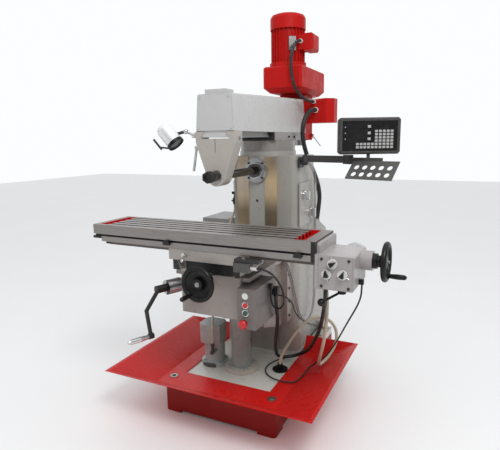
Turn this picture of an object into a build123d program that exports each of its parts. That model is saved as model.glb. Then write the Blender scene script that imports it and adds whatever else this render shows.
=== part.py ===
from build123d import *
import math
import os

# Knee-type universal milling machine, in millimetres.
# X runs along the table, Y from the operator to the column, Z up from the floor.

# Fits shared by all pieces
slide_gap = 0.2
turn_gap = 0.05
seat_gap = 0.02
face_gap = 0.3

# Base casting
base_width = 604
base_length = 936
base_height = 150
base_wall = 24
base_corner = 18
foot_length = 92
foot_height = 14
anchor_spacing_x = 540
anchor_spacing_y = 860
anchor_radius = 11
anchor_bush_radius = 20
anchor_bush_height = 9
foot_bolt_radius = 15
foot_bolt_height = 14
foot_bolt_inset = 45

# Chip tray
tray_width = 1062
tray_front = -642
tray_back = 166
tray_lip = 243
tray_sheet = 6
tray_fold_x = 318
tray_fold_front = -505
tray_fold_back = 110
tray_opening_x = 236
tray_opening_front = -373

# Column casting
foot_plate = 15
foot_margin = 4
column_width = 442
column_front = 50
column_back = 310
column_top = 1265
column_wall = 18
column_corner = 42
column_neck_left = -152
column_neck_bottom = 910
column_notch_bottom = 690
way_width = 234
way_root_width = 190
way_depth = 35
way_strip_width = 94
way_strip_depth = 3
oil_hole_height = 1027
oil_hole_radius = 8
oil_hole_depth = 22
motor_bay_back = 570
motor_bay_top = 880
motor_bay_slope_y = 400
motor_bay_rear_top = 800
rear_foot_front = 262
rear_foot_height = 25
selector_plate = 8
selector_front = 62
selector_back = 296
selector_bottom = 890
selector_top = 1122
turret_seat_radius = 155
turret_seat_height = 25
turret_centre_y = 170
cable_box_depth = 28
cable_box_front = 400
cable_box_back = 470
cable_box_low = 196
cable_box_high = 244

# Louvred cover behind the motor
bay_cover_sheet = 3
louvre_count = 7
louvre_pitch = 38
louvre_width = 260
louvre_height = 10
louvre_start = 90

# Spindle and arbor, level with spindle_height
spindle_height = 1190
spindle_radius = 32
nose_radius = 44
nose_length = 23
nose_cover_gap = 1
bearing_radius = 55
bearing_width = 28
bearing_inset = 4
housing_wall = 13
housing_length = 220
cover_radius = 65
cover_thickness = 12
cover_screw_circle = 55
cover_screw_radius = 6
cover_screw_height = 5
arbor_flange_radius = 36
arbor_flange_length = 16
collar_radius = 20
sleeve_radius = 24
sleeve_length = 130
arbor_overhang = 42
arbor_thread_radius = 14
arbor_thread_end = 6
arbor_nut_across = 46
arbor_nut_length = 36

# Main drive inside the column
drive_motor_height = 480
drive_motor_radius = 98
drive_motor_length = 225
drive_motor_space = 12
drive_motor_bevel = 25
motor_shaft_radius = 18
motor_shaft_socket = 40
motor_stand_width = 140
spindle_pulley_radius = 44
motor_pulley_radius = 34
pulley_width = 36
pulley_space = 12
shaft_end = 8
groove_half = 7
groove_flare = 3
belt_thickness = 9
belt_width = 12
belt_gap = 0.4

# Turret and ram
turret_disc_radius = 150
turret_disc_height = 55
turret_block_width = 200
turret_block_height = 43
turret_block_front = 30
turret_block_back = 480
turret_block_corner = 8
turret_pocket_depth = 9
turret_pocket_length = 30
turret_pocket_height = 11
turret_pocket_rise = 14
turret_pocket_offsets = (52, 135)
ram_front = -415
ram_back = 526
ram_bottom_width = 195
ram_taper = 0.154
ram_front_height = 162
ram_back_height = 201
ram_wall = 14
ram_edge_radius = 9
ram_plate = 6
ram_plate_inset = 3
ram_screw_radius = 4
ram_screw_height = 3
ram_screw_inset = 11
ram_cap_width = 104
ram_cap_length = 76
ram_cap_setback = 8
ram_cap_rise = 20
ram_cap_height = 32
dovetail_width = 112
dovetail_flare = 14
dovetail_height = 26
dovetail_end = 40
dovetail_floor = 5

# Arbor support
support_thickness = 70
support_overhang = 5
support_width = 202
support_shoulder = 47
support_end_radius = 46
support_edge_radius = 4
bush_radius = 31
bush_rim = 4
split_width = 3
split_length = 62
clamp_radius = 7
clamp_height = 8
nozzle_valve_radius = 9
nozzle_radius = 6
nozzle_length = 108
nozzle_drop = 70
nozzle_lean = 30

# Vertical head, placed from the ram's back end
head_axis_rise = 81.8
head_disc_radius = 92
head_disc_thickness = 30
quill_reach = 164
quill_radius = 45
quill_wall = 21
quill_length = 240
quill_show = 6
spindle_nose_radius = 33
spindle_nose_height = 28
head_radius = 82
head_drop = 125
housing_rise = 150
housing_bevel_height = 28
housing_height = 148
housing_front_reach = 330
housing_back_reach = 172
housing_width = 240
housing_shift = 8
housing_front_chamfer = 12
housing_back_chamfer = 62
housing_bevel = 30
housing_skin = 14
housing_edge = 7
switch_box_width = 174
switch_box_front_reach = 132
switch_box_back_reach = 20
switch_box_drop = 22
switch_box_rise = 122
switch_box_chamfer = 40
head_motor_reach = 207
motor_flange_radius = 108
motor_flange_height = 26
motor_radius = 88
motor_fin_radius = 100
motor_fin_count = 26
motor_fin_thickness = 4
motor_fin_root = 4
motor_height = 190
fan_cover_radius = 104
fan_cover_height = 86
fan_cover_sheet = 3.6
fan_cover_overlap = 4
terminal_mount_left = 60
terminal_mount_right = 112
terminal_mount_front = 50
terminal_mount_back = 62
terminal_mount_low = 66
terminal_mount_high = 150
terminal_lid_right = 168
terminal_lid_front = 42
terminal_lid_back = 78
terminal_lid_margin = 5
terminal_lid_edge = 9
lever_hub_drop = 100
lever_hub_radius = 13
lever_boss_radius = 17
lever_boss_height = 6
lever_shaft_radius = 8
lever_shaft_length = 22
lever_rod_radius = 3.5
lever_reach = 52
lever_back = 14
lever_drop = 64

# Knee
knee_width = 314
knee_front = -500
knee_bottom = 560
knee_way_height = 63.8
knee_shelf_width = 380
knee_shelf_thickness = 18
knee_shelf_setback = 14
knee_wall = 24
knee_roof = 54
knee_way_width = 250
knee_way_flare = 24
jaw_inner = 80
jaw_front = -24
jaw_back_gap = 2
jaw_recess = 10
jaw_top_drop = 16
jaw_bottom = 385
skirt_fronts = (-110, -255)
skirt_flat = -76
skirt_bottom = 372
skirt_slope = 0.35
gib_heights = (415, 494, 567, 639)
gib_y = 1
gib_radius = 7
gib_head = 5
knee_corner = 10
lift_y = -200
lift_screw_radius = 20
lift_screw_bottom = 300
pedestal_radius = 51
pedestal_bore = 38
pedestal_top = 500
pedestal_flange_radius = 88
pedestal_flange_height = 20
pedestal_bolt_circle = 70
pedestal_bolt_radius = 8
pedestal_bolt_height = 9
lift_nut_length = 50
cross_screw_drop = 16
cross_screw_radius = 12
screw_slot_width = 64
screw_slot_depth = 34
screw_slot_front = 30
screw_slot_back = 16
apron_thickness = 4
apron_inset = 4
apron_top_drop = 6

# Saddle and table
table_length = 1120
table_depth = 260
table_height = 83
table_top = 953
table_centre_x = -73
table_centre_y = -411
saddle_length = 384
saddle_depth = 248
saddle_height = 52
saddle_jaw_height = 46
saddle_jaw_width = 22
cross_nut_width = 48
cross_nut_length = 60
cross_nut_drop = 32
table_nut_width = 60
table_nut_depth = 36
table_nut_rise = 17
stud_x = -100
stud_rise = 30
stud_radius = 11
stud_length = 10
stud_bore = 5
stud_bore_depth = 12
table_way_width = 120
table_way_flare = 15
table_way_height = 25
slot_count = 5
slot_spacing = 45
slot_width = 14
slot_neck = 12
slot_head_width = 24
slot_head_height = 11
trough_length = 46
trough_rim = 30
trough_side = 20
trough_depth = 26
dog_slot_height = 52
dog_slot_width = 10
dog_slot_depth = 14
dog_places = (-122, 508)
dog_width = 34
dog_thickness = 12
dog_low = 11
dog_high = 11
dog_edge = 9
dog_key_width = 26
dog_key_play = 0.5
table_screw_radius = 12
table_screw_drop = 86
table_screw_slot = 42
table_screw_cover = 22
table_screw_start = 24
end_bracket = 18
end_bracket_foot = 60
left_bracket_setback = 20
left_bracket_half = 70
left_bracket_bar = 12
left_bracket_overhang = 8
lower_strip_inset = 46
lower_strip_step = 3
drain_inset = 17
drain_y = 111
drain_length = 20
drain_radius = 11

# Limit switch on the saddle's front
switch_bracket_inset = 26
switch_bracket_reach = 84
switch_bracket_depth = 44
switch_bracket_low = 22
switch_bracket_high = 8
switch_inset = 28
switch_reach = 46
switch_front = 52
switch_back = 4
switch_low = 62
switch_corner = 4
switch_gland_end = 72
switch_gland_drop = 44
switch_gland_y = 28
switch_gland_radius = 10
roller_x = 10
roller_y = 26
roller_radius = 9

# Lever that clamps the saddle
clamp_hub_radius = 10
clamp_hub_length = 14
clamp_rod_radius = 4
clamp_rod_end = (14, -42, -17)
clamp_ball_radius = 8

# Feed gearbox on the right end of the table, placed from the table screw
gearbox_length = 155
gearbox_boss_length = 46
gearbox_boss_radius = 40
gearbox_front_reach = 134
gearbox_back_reach = 76
gearbox_drop = 99
gearbox_rise = 38
gearbox_edge = 8
gearbox_flange = 16
gearbox_flange_inset = 25
gearbox_flange_back = 7
gearbox_flange_low = 32
gearbox_flange_drop = 7
gearbox_plate = 4
gearbox_plate_start = 17
gearbox_plate_end = 148
gearbox_plate_margin = 2
plate_screw_inset = 12
plate_screw_radius = 5.5
plate_screw_height = 4
feed_motor_radius = 54
feed_motor_length = 170
feed_motor_offset = 74
feed_motor_drop = 38
feed_motor_groove_start = 30
feed_motor_groove_pitch = 20
feed_motor_groove_width = 10
feed_motor_groove_depth = 7
feed_motor_groove_count = 6
dial_offsets = ((50, 64), (73, 108), (113, 68))
dial_radius = 19
dial_height = 10
dial_shaft_radius = 6
dial_shaft_length = 18
pointer_width = 20
pointer_height = 14
pointer_tip = 19
pointer_back = 9
dial_lever_reach = 30
dial_lever_radius = 2.5
feed_lever_offset = 93
feed_lever_front = 67
feed_lever_boss_radius = 20
feed_lever_boss_height = 14
feed_lever_hub_radius = 17
feed_lever_hub_height = 16
feed_lever_shaft_radius = 8
feed_lever_shaft_length = 30
feed_lever_rod_radius = 5
feed_lever_end = (-68, -52, -46)
feed_lever_ball = 16

# Handwheels and crank
wheel_radius = 81
wheel_rim = 11
wheel_hub_radius = 24
wheel_dial_radius = 31
wheel_handle_offset = 63
wheel_handle_radius = 11
wheel_handle_length = 78
cross_wheel_reach = 104
cross_wheel_dial = 40
cross_wheel_handle_angle = 234
cross_boss_radius = 34
cross_boss_length = 20
cross_screw_end = 30
table_wheel_rim_at = 49
table_wheel_dial = 16
table_wheel_handle_angle = 285
crank_angle = 23
crank_start_x = -135
crank_drop = 54
crank_radius = 205
crank_boss_radius = 30
crank_boss_length = 30
crank_shaft_radius = 12
crank_shaft_inside = 40
crank_dial_radius = 33.5
crank_dial_end = 100
crank_hub_radius = 17.5
crank_hub_end = 152
crank_arm_start = 140
crank_arm_radius = 9
crank_bend_at = 205
crank_bend_drop = 84
crank_end_at = 190
crank_eye_radius = 13
crank_eye_half = 12
crank_pin_radius = 6
crank_grip_length = 95

# Control box on the knee
control_width = 85
control_front = -540
control_back = -315
control_height = 182
control_drop = 32
control_edge = 5
button_inset = 45
button_radius = 11
button_bezel = 15
button_bezel_height = 4
button_stand = 8
button_depth = 20
button_room = 8
button_drops = (30, 71, 106)
mushroom_radius = 20
mushroom_drop = 154
mushroom_shift = 6
mushroom_bezel = 19

# Cabinet on the column's left side
cabinet_depth = 178
cabinet_front = 105
cabinet_back = 365
cabinet_bottom = 450
cabinet_top = 900
cabinet_wall = 4
door_thickness = 14
door_edge = 4
hinge_heights = (520, 800)
hinge_length = 30
hinge_radius = 6
hinge_reach = 7
hinge_leaf_length = 20
hinge_leaf_thickness = 6

# Speed knobs on the selector plate
knob_radius = 27
knob_height = 12
knob_grip_height = 34
knob_grip_width = 18
knob_grip_length = 48
knob_grip_corner = 6
upper_knob_back = 55
upper_knob_drop = 67
lower_knob_back = 157
lower_knob_rise = 59

# Readout on its two-part arm
arm_pivot_out = 29
arm_pivot_back = 33
arm_drop = 15
arm_length = 270
arm_angle = -20
arm_section = 34
arm_thickness = 16
arm_pin_radius = 9
arm_hub_radius = 17
fork_thickness = 12
fork_overlap = 7
fork_start = 16
arm_bar_end = 8
bracket_plate = 9
bracket_half = 33
bracket_low = 30
bracket_high = 8
bracket_shelf_half = 15
bracket_shelf = 13
bracket_pin_rise = 6
cable_clip_width = 26
cable_clip_depth = 12
cable_clip_height = 26
cable_clip_drop = 36
link_length = 172
post_radius = 8
post_top = 52
post_socket = 36.4
readout_place = 100
readout_width = 280
readout_height = 165
readout_depth = 46
readout_yaw = 25
readout_height_above = 109
readout_corner = 10
readout_edge = 7
readout_rim = 15
readout_recess = 2.5
tool_plate_start = 26
tool_plate_width = 238
tool_plate_depth = 106
tool_plate_sheet = 4
tool_plate_tilt = 48
tool_hole_radius = 13
tool_hole_count = 5

# Work lamp on the arbor support's left side
lamp_boss_radius = 13
lamp_boss_out = 6
lamp_boss_length = 12
lamp_hub_radius = 12
lamp_hub_length = 16
lamp_rod_radius = 6
lamp_ball_offset = (-50, -6, 18)
lamp_ball_radius = 12
lamp_offset = (-63, -41, -19)
lamp_aim = (0.67, 0.02, -0.74)
lamp_radius = 38
lamp_length = 108
lamp_rim_length = 14
lamp_grip_way = (-0.636, -0.505, -0.584)
lamp_grip_out = 66
lamp_grip_ends = (23, 83)
lamp_grip_radius = 5
lamp_grip_arm_at = 70
lamp_grip_arm_radius = 4
lamp_neck_radius = 7
lens_thickness = 4.5
lens_recess = 10

# Coolant pump and drain beside the pedestal
pump_flange_radius = 72
pump_flange_height = 20
pump_gap = 2
pump_shift_y = 4
pump_neck_radius = 54
pump_motor_width = 118
pump_motor_low = 124
pump_motor_height = 104
pump_motor_shift = -8
pump_motor_edge = 20
pump_outlet_x = 29
pump_outlet_out = 76
pump_outlet_height = 92
pump_outlet_radius = 11
pump_riser_top = 140
pump_riser_radius = 8
pump_clamp_length = 12
pump_bolt_circle = 61
pump_bolt_radius = 7
pump_bolt_height = 8
strainer_x = 194
strainer_y = -140
strainer_radius = 40
strainer_height = 7
strainer_tube_radius = 14
strainer_tube_top = 34
strainer_tube_floor = 12

# Cables and hoses
gland_length = 12
gland_wall = 4
elbow_wall = 7
motor_cable_diameter = 17
head_conduit_diameter = 26
switch_cable_diameter = 9
feed_conduit_diameter = 18
knee_cable_diameter = 7
scale_cable_diameter = 6
scale_cable_shift = (8, 0, 5)
feed_cable_diameter = 7
return_hose_diameter = 16
supply_hose_diameter = 12

# Coolant tap
tap_height = 26
tap_radius = 12
tap_pipe_radius = 6.5
tap_pipe_top = 1125
tap_clamp_heights = (1048, 1062)
tap_handle_length = 34
tap_handle_radius = 4

# Levels and faces worked out from the sizes above
foot_top = base_height + foot_plate
way_front = column_front - way_depth
turret_bottom = column_top + turret_seat_height
turret_block_bottom = turret_bottom + turret_disc_height
ram_bottom = turret_block_bottom + turret_block_height + slide_gap
saddle_top = table_top - table_height
saddle_bottom = saddle_top - saddle_height
knee_top = saddle_bottom - slide_gap
knee_shelf = knee_top - knee_way_height
cross_screw_height = knee_shelf - cross_screw_drop
crank_height = knee_shelf - crank_drop
control_right = knee_width / 2 + control_width
control_top = knee_shelf - control_drop
control_bottom = control_top - control_height
button_x = control_right - button_inset
table_screw_height = table_top - table_screw_drop
table_left = table_centre_x - table_length / 2
table_right = table_centre_x + table_length / 2
table_front = table_centre_y - table_depth / 2
table_back = table_front + table_depth
table_split = table_top - dog_slot_height - dog_slot_width / 2
saddle_front = table_centre_y - saddle_depth / 2
saddle_back = table_centre_y + saddle_depth / 2
gearbox_left = table_right + end_bracket
gearbox_right = gearbox_left + gearbox_length
gearbox_front = table_centre_y - gearbox_front_reach
gearbox_back = table_centre_y + gearbox_back_reach
gearbox_bottom = table_screw_height - gearbox_drop
gearbox_top = table_screw_height + gearbox_rise
feed_lever_x = gearbox_left + feed_lever_offset
feed_lever_y = table_centre_y - feed_lever_front
head_axis_height = ram_bottom + head_axis_rise
quill_y = ram_back + quill_reach
head_motor_y = quill_y - head_motor_reach
head_bottom = head_axis_height - head_drop
housing_bottom = head_axis_height + housing_rise
housing_bevel_top = housing_bottom + housing_bevel_height
housing_top = housing_bottom + housing_height
housing_front = quill_y - housing_front_reach
housing_back = quill_y + housing_back_reach
switch_box_left = head_radius - 2
switch_box_right = switch_box_left + switch_box_width
switch_box_front = quill_y - switch_box_front_reach
switch_box_back = quill_y - switch_box_back_reach
switch_box_bottom = head_axis_height - switch_box_drop
switch_box_top = head_axis_height + switch_box_rise
lever_hub_z = head_axis_height - lever_hub_drop
motor_bottom = housing_top + motor_flange_height
motor_top = motor_bottom + motor_height
nose_front = way_front - nose_length
pulley_y = way_front + housing_length + pulley_space
drive_motor_front = column_back - column_wall + drive_motor_space
support_front = ram_front - support_overhang
support_top = ram_bottom - slide_gap
sleeve_end = support_front - arbor_overhang
arbor_end = sleeve_end - arbor_nut_length
arm_pivot_x = column_width / 2 + arm_pivot_out
arm_pivot_y = column_front + arm_pivot_back
arm_height = column_top - arm_drop
arm_low = arm_height - arm_section / 2
arm_high = arm_height + arm_section / 2
pump_x = -pedestal_flange_radius - pump_gap - pump_flange_radius
pump_y = lift_y + pump_shift_y


def span(x, y, z):
    """A box from its low and high x, y and z."""
    size = [high - low for low, high in (x, y, z)]
    centre = [(low + high) / 2 for low, high in (x, y, z)]
    return Pos(*centre) * Box(*size)


def rod(start, end, radius):
    """A round bar between two points."""
    line = Vector(*end) - Vector(*start)
    plane = Plane(origin=start, z_dir=line)
    return extrude(plane * Circle(radius), line.length)


def tube(start, end, outer, inner):
    """A round bar with a bore through it."""
    return rod(start, end, outer) - rod(start, end, inner)


def across_y(points, y_low, y_high):
    """An outline in X and Z, stretched along Y."""
    face = make_face(Polyline([(x, y_low, z) for x, z in points], close=True))
    return extrude(face, amount=y_high - y_low, dir=(0, 1, 0))


def across_x(points, x_low, x_high):
    """An outline in Y and Z, stretched along X."""
    face = make_face(Polyline([(x_low, y, z) for y, z in points], close=True))
    return extrude(face, amount=x_high - x_low, dir=(1, 0, 0))


def across_z(points, z_low, z_high):
    """An outline in X and Y, stretched along Z."""
    face = make_face(Polyline([(x, y, z_low) for x, y in points], close=True))
    return extrude(face, amount=z_high - z_low, dir=(0, 0, 1))


def turned(points, axis):
    """A solid of revolution from (radius, distance along the axis) points."""
    profile = make_face(Polyline([(r, 0, s) for r, s in points], close=True))
    return axis.location * revolve(profile, Axis.Z)


def along(axis_start, axis_end):
    """A plane whose Z runs from one point towards another."""
    return Plane(origin=axis_start, z_dir=Vector(*axis_end) - Vector(*axis_start))


def upright_edges(solid):
    return solid.edges().filter_by(Axis.Z)


def around(x, y, radius, count=4):
    """Places on a bolt circle, the first one half a step round."""
    turns = [math.radians((step + 0.5) * 360 / count) for step in range(count)]
    return [(x + radius * math.cos(turn), y + radius * math.sin(turn)) for turn in turns]


def dovetail(y_low, y_high):
    """The ram's bar: it widens downwards by the flare on each side."""
    half, low = dovetail_width / 2, ram_bottom - dovetail_height
    foot = half + dovetail_flare
    return across_y([(-half, ram_bottom), (half, ram_bottom), (foot, low), (-foot, low)], y_low, y_high)


def dovetail_slot(y_low, y_high):
    """The slot that the bar slides in, with room under the bar."""
    half = dovetail_width / 2 + slide_gap
    foot = half + dovetail_flare
    low = ram_bottom - dovetail_height - slide_gap
    floor = low - dovetail_floor
    right = [(half, ram_bottom), (foot, low), (foot, floor)]
    left = [(-x, z) for x, z in right]
    return across_y(left[::-1] + right, y_low, y_high)


def out_from(point, direction, distance):
    return tuple(Vector(*point) + Vector(*direction) * distance)


def gland(face_point, direction, diameter):
    """A short boss on a face that a cable leaves from."""
    return rod(face_point, out_from(face_point, direction, gland_length), diameter / 2 + gland_wall)


def leaving(point, direction, run):
    """The first two points of a cable that leaves a face straight."""
    return [tuple(point), out_from(point, direction, run)]


def leaving_gland(face_point, direction, run):
    return leaving(out_from(face_point, direction, gland_length), direction, run)


def arriving(points):
    return points[::-1]


def elbow(point, x_face, diameter):
    """A block on a side face, with the cable leaving its underside at the point."""
    x, y, z = point
    half = diameter / 2 + gland_wall
    return span((x_face, x + half), (y - half, y + half), (z, z + diameter + 2 * elbow_wall))


# Directions in which cables and hoses leave
front_way = (0, -1, 0)
back_way = (0, 1, 0)
right_way = (1, 0, 0)
up_way = (0, 0, 1)
down_way = (0, 0, -1)

# Places where the cables and hoses are held
terminal_place = (98, head_motor_y - terminal_mount_front, motor_bottom + 111)
motor_cable_place = (140, switch_box_front, switch_box_top - 19)
head_conduit_place = (152, switch_box_front, switch_box_top - 68)
bay_fall = (motor_bay_top - motor_bay_rear_top) / (motor_bay_back - motor_bay_slope_y)
bay_normal = tuple(Vector(0, bay_fall, 1).normalized())
bay_place = (200, motor_bay_slope_y + 44, motor_bay_top - 44 * bay_fall)
switch_gland_x = saddle_length / 2 + switch_gland_end
switch_place = (switch_gland_x, saddle_front - switch_gland_y, saddle_top - switch_gland_drop)
switch_elbow_place = (control_right + 10, -392, control_top - 34)
feed_elbow_place = (control_right + 18, -350, control_top - 68)
gearbox_place = (gearbox_left + 15, table_centre_y - 29, gearbox_bottom)
knee_cable_place = (control_right, -328, control_top - 82)
bay_knee_place = (column_width / 2 + 19, cable_box_front, 230)
bay_feed_place = (column_width / 2 + 13, cable_box_front, 206)
scale_place = (170, saddle_back, saddle_bottom + 20)
clip_place = (column_width / 2 + 6, arm_pivot_y + bracket_half + cable_clip_depth, arm_low - 5)
feed_cable_place = (gearbox_right + 12, table_centre_y - 45, gearbox_bottom + 10)
drain_place = (table_right - drain_inset, table_centre_y + drain_y, saddle_top + slide_gap)
pump_place = (pump_x + pump_outlet_x, pump_y - pump_outlet_out, foot_top + pump_riser_top)
tap_place = (-183, 110, 1000)


def machine_base():
    half_x, half_y = base_width / 2, base_length / 2
    body = span((-half_x, half_x), (-half_y, half_y), (0, base_height))
    body = fillet(upright_edges(body), base_corner)
    inner_x, inner_y = half_x - base_wall, half_y - base_wall
    body -= span((-inner_x, inner_x), (-inner_y, inner_y), (0, base_height - base_wall))
    for x in (-1, 1):
        for y in (-1, 1):
            lug_x = sorted((x * (half_x - 1), x * (half_x - foot_length)))
            lug_y = sorted((y * (half_y - 1), y * (half_y - foot_length)))
            lug = span(lug_x, lug_y, (0, base_height))
            body += fillet(upright_edges(lug), base_corner)
    open_x, open_y = half_x - foot_length, half_y - foot_length
    body -= span((-open_x, open_x), (-half_y, half_y), (0, foot_height))
    body -= span((-half_x, half_x), (-open_y, open_y), (0, foot_height))
    body -= anchor_holes(0, base_height, anchor_radius)
    body -= rod((0, lift_y, 0), (0, lift_y, base_height), pedestal_bore)
    return body


def anchor_places():
    return [
        (x * anchor_spacing_x / 2, y * anchor_spacing_y / 2)
        for x in (-1, 1)
        for y in (-1, 1)
    ]


def anchor_holes(low, high, radius):
    return Compound(children=[rod((x, y, low), (x, y, high), radius) for x, y in anchor_places()])


def chip_tray():
    low, high = foot_top, tray_lip

    def dish(z_low, z_high):
        bottom = Pos(0, (tray_fold_front + tray_fold_back) / 2, z_low)
        bottom *= Rectangle(2 * tray_fold_x, tray_fold_back - tray_fold_front)
        top = Pos(0, (tray_front + tray_back) / 2, z_high)
        top *= Rectangle(tray_width, tray_back - tray_front)
        return loft([bottom, top], ruled=True)

    body = dish(low, high) - dish(low + tray_sheet, high + tray_sheet)
    opening_x = (-tray_opening_x, tray_opening_x)
    body -= span(opening_x, (tray_opening_front, tray_back + 1), (low - 1, high + 1))
    for x, y in anchor_places():
        body -= rod((x, y, low - 1), (x, y, high), anchor_bush_radius + 0.5)
    return body


def foot_fasteners():
    pieces = []
    rear_top = foot_top + rear_foot_height
    for x, y in anchor_places():
        low = foot_top if y < 0 else rear_top
        high = low + anchor_bush_height
        pieces.append(tube((x, y, low), (x, y, high), anchor_bush_radius, anchor_radius))
    for x in (-1, 1):
        place = Pos(x * anchor_spacing_x / 2, rear_foot_front + foot_bolt_inset, rear_top)
        pieces.append(place * extrude(RegularPolygon(foot_bolt_radius, 6), foot_bolt_height))
    return pieces


def column():
    half = column_width / 2
    body = span((-half, half), (column_front, column_back), (foot_top, column_top))
    body = fillet(upright_edges(body).group_by(Axis.Y)[0], column_corner)
    body -= column_notches(-half, column_neck_left, 0)
    bay = [
        (column_back - column_wall, foot_top),
        (motor_bay_back, foot_top),
        (motor_bay_back, motor_bay_rear_top),
        (motor_bay_slope_y, motor_bay_top),
        (column_back - column_wall, motor_bay_top),
    ]
    body += across_x(bay, -half, half)
    way, root = way_width / 2, way_root_width / 2
    foot_y = column_front + 1
    way_points = [(-way, way_front), (way, way_front), (root, foot_y), (-root, foot_y)]
    body += across_z(way_points, foot_top, column_top)
    body += rod((0, turret_centre_y, column_top), (0, turret_centre_y, turret_bottom), turret_seat_radius)
    plate_x = (half, half + selector_plate)
    body += span(plate_x, (selector_front, selector_back), (selector_bottom, selector_top))
    box_x = (half, half + cable_box_depth)
    body += span(box_x, (cable_box_front, cable_box_back), (cable_box_low, cable_box_high))
    edge_x = base_width / 2 - foot_margin
    edge_y = base_length / 2 - foot_margin
    body += span((-edge_x, edge_x), (-edge_y, edge_y), (base_height, foot_top))
    rear_top = foot_top + rear_foot_height
    body += span((-edge_x, edge_x), (rear_foot_front, edge_y), (foot_top, rear_top))
    body -= column_hollow(half - column_wall)
    housing_end = way_front + housing_length
    housing_radius = bearing_radius + housing_wall
    body += rod((0, column_front, spindle_height), (0, housing_end, spindle_height), housing_radius)
    body -= rod((0, way_front, spindle_height), (0, housing_end, spindle_height), bearing_radius)
    strip = way_strip_width / 2
    body -= span((-strip, strip), (way_front, way_front + way_strip_depth), (foot_top, column_top))
    oil_hole_end = (0, way_front + oil_hole_depth, oil_hole_height)
    body -= rod((0, way_front, oil_hole_height), oil_hole_end, oil_hole_radius)
    body -= anchor_holes(base_height, rear_top, anchor_radius)
    body -= rod((0, lift_y, base_height), (0, lift_y, foot_top), pedestal_bore)
    body += gland(bay_place, bay_normal, head_conduit_diameter)
    return [body, coolant_tap()]


def column_notches(left, right, wall):
    """The room beside the narrow upper column, and in front of the cabinet, grown by a wall's thickness."""
    x = (left - 1, right + wall)
    top = column_top + 1
    above = span(x, (column_front - 1, column_back + 1), (column_neck_bottom - wall, top))
    return above + span(x, (column_front - 1, cabinet_front + wall), (column_notch_bottom - wall, top))


def coolant_tap():
    """A tap and pipe on the column's left side, fed by the pump's hose from below."""
    x, y, z = tap_place
    tap = gland(tap_place, down_way, supply_hose_diameter)
    tap += rod(tap_place, (x, y, z + tap_height), tap_radius)
    tap += rod(tap_place, (x, y, tap_pipe_top), tap_pipe_radius)
    pipe_end = tap_pipe_top - tap_pipe_radius
    tap += rod((x, y, pipe_end), (column_neck_left, y, pipe_end), tap_pipe_radius)
    clamp_x = (x - tap_radius, column_neck_left)
    tap += span(clamp_x, (y - tap_radius, y + tap_radius), tap_clamp_heights)
    handle_z = z + tap_height / 2
    return tap + rod((x, y, handle_z), (x, y - tap_handle_length, handle_z), tap_handle_radius)


def column_hollow(inner):
    """The room inside the column and the motor bay, open at the bay's back."""
    front, back = column_front + column_wall, column_back - column_wall
    room = span((-inner, inner), (front, back), (foot_top, column_top - column_wall))
    room -= column_notches(-inner, column_neck_left, column_wall)
    bay = [
        (back - column_wall, foot_top),
        (motor_bay_back + 1, foot_top),
        (motor_bay_back + 1, motor_bay_rear_top - column_wall),
        (motor_bay_slope_y - 4, motor_bay_top - column_wall),
        (back - column_wall, motor_bay_top - column_wall),
    ]
    return room + across_x(bay, -inner, inner)


def motor_cover():
    half = column_width / 2 - bay_cover_sheet
    low, high = foot_top + rear_foot_height + 2, motor_bay_rear_top - bay_cover_sheet
    back = motor_bay_back + bay_cover_sheet
    body = span((-half, half), (motor_bay_back, back), (low, high))
    slot = louvre_width / 2
    for row in range(louvre_count):
        z = low + louvre_start + louvre_pitch * row
        body -= span((-slot, slot), (motor_bay_back - 1, back + 1), (z, z + louvre_height))
    return body


def spindle_bearing_set():
    face = way_front - cover_thickness
    cover_bore = nose_radius + nose_cover_gap
    pieces = [tube((0, face, spindle_height), (0, way_front, spindle_height), cover_radius, cover_bore)]
    for x, z in around(0, spindle_height, cover_screw_circle):
        pieces.append(rod((x, face - cover_screw_height, z), (x, face, z), cover_screw_radius))
    first = way_front + nose_length + bearing_inset
    last = way_front + housing_length - bearing_width - bearing_inset
    outer, inner = bearing_radius - seat_gap, spindle_radius + turn_gap
    for y in (first, last):
        pieces.append(tube((0, y, spindle_height), (0, y + bearing_width, spindle_height), outer, inner))
    return pieces


def spindle():
    axis = along((0, nose_front, spindle_height), (0, way_front, spindle_height))
    shoulder = way_front + nose_length - nose_front
    end = pulley_y + pulley_width + shaft_end - nose_front
    points = [
        (0, 0),
        (nose_radius, 0),
        (nose_radius, shoulder),
        (spindle_radius, shoulder),
        (spindle_radius, end),
        (0, end),
    ]
    return [turned(points, axis), pulley(spindle_pulley_radius, spindle_height, spindle_radius)]


def pulley(radius, height, bore):
    """A V-belt pulley with one deep groove, centred on the belt."""
    axis = along((0, pulley_y, height), (0, pulley_y + 1, height))
    middle = pulley_width / 2
    wide = groove_half + groove_flare
    rim = radius + belt_thickness
    points = [
        (bore + seat_gap, 0),
        (rim, 0),
        (rim, middle - wide),
        (radius, middle - groove_half),
        (radius, middle + groove_half),
        (rim, middle + wide),
        (rim, pulley_width),
        (bore + seat_gap, pulley_width),
    ]
    return turned(points, axis)


def drive_motor():
    front, height = drive_motor_front, drive_motor_height
    axis = along((0, front, height), (0, front + 1, height))
    length = drive_motor_length
    socket = motor_shaft_radius + turn_gap
    shell = [
        (socket, 0),
        (drive_motor_radius, 0),
        (drive_motor_radius, length - drive_motor_bevel),
        (drive_motor_radius - drive_motor_bevel, length),
        (0, length),
        (0, motor_shaft_socket),
        (socket, motor_shaft_socket),
    ]
    body = turned(shell, axis)
    half = motor_stand_width / 2
    stand = span((-half, half), (front + 20, front + length - 40), (foot_top, height))
    stand -= rod((0, front, height), (0, front + length, height), drive_motor_radius - 2)
    return [body + stand, drive_belt()]


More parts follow.
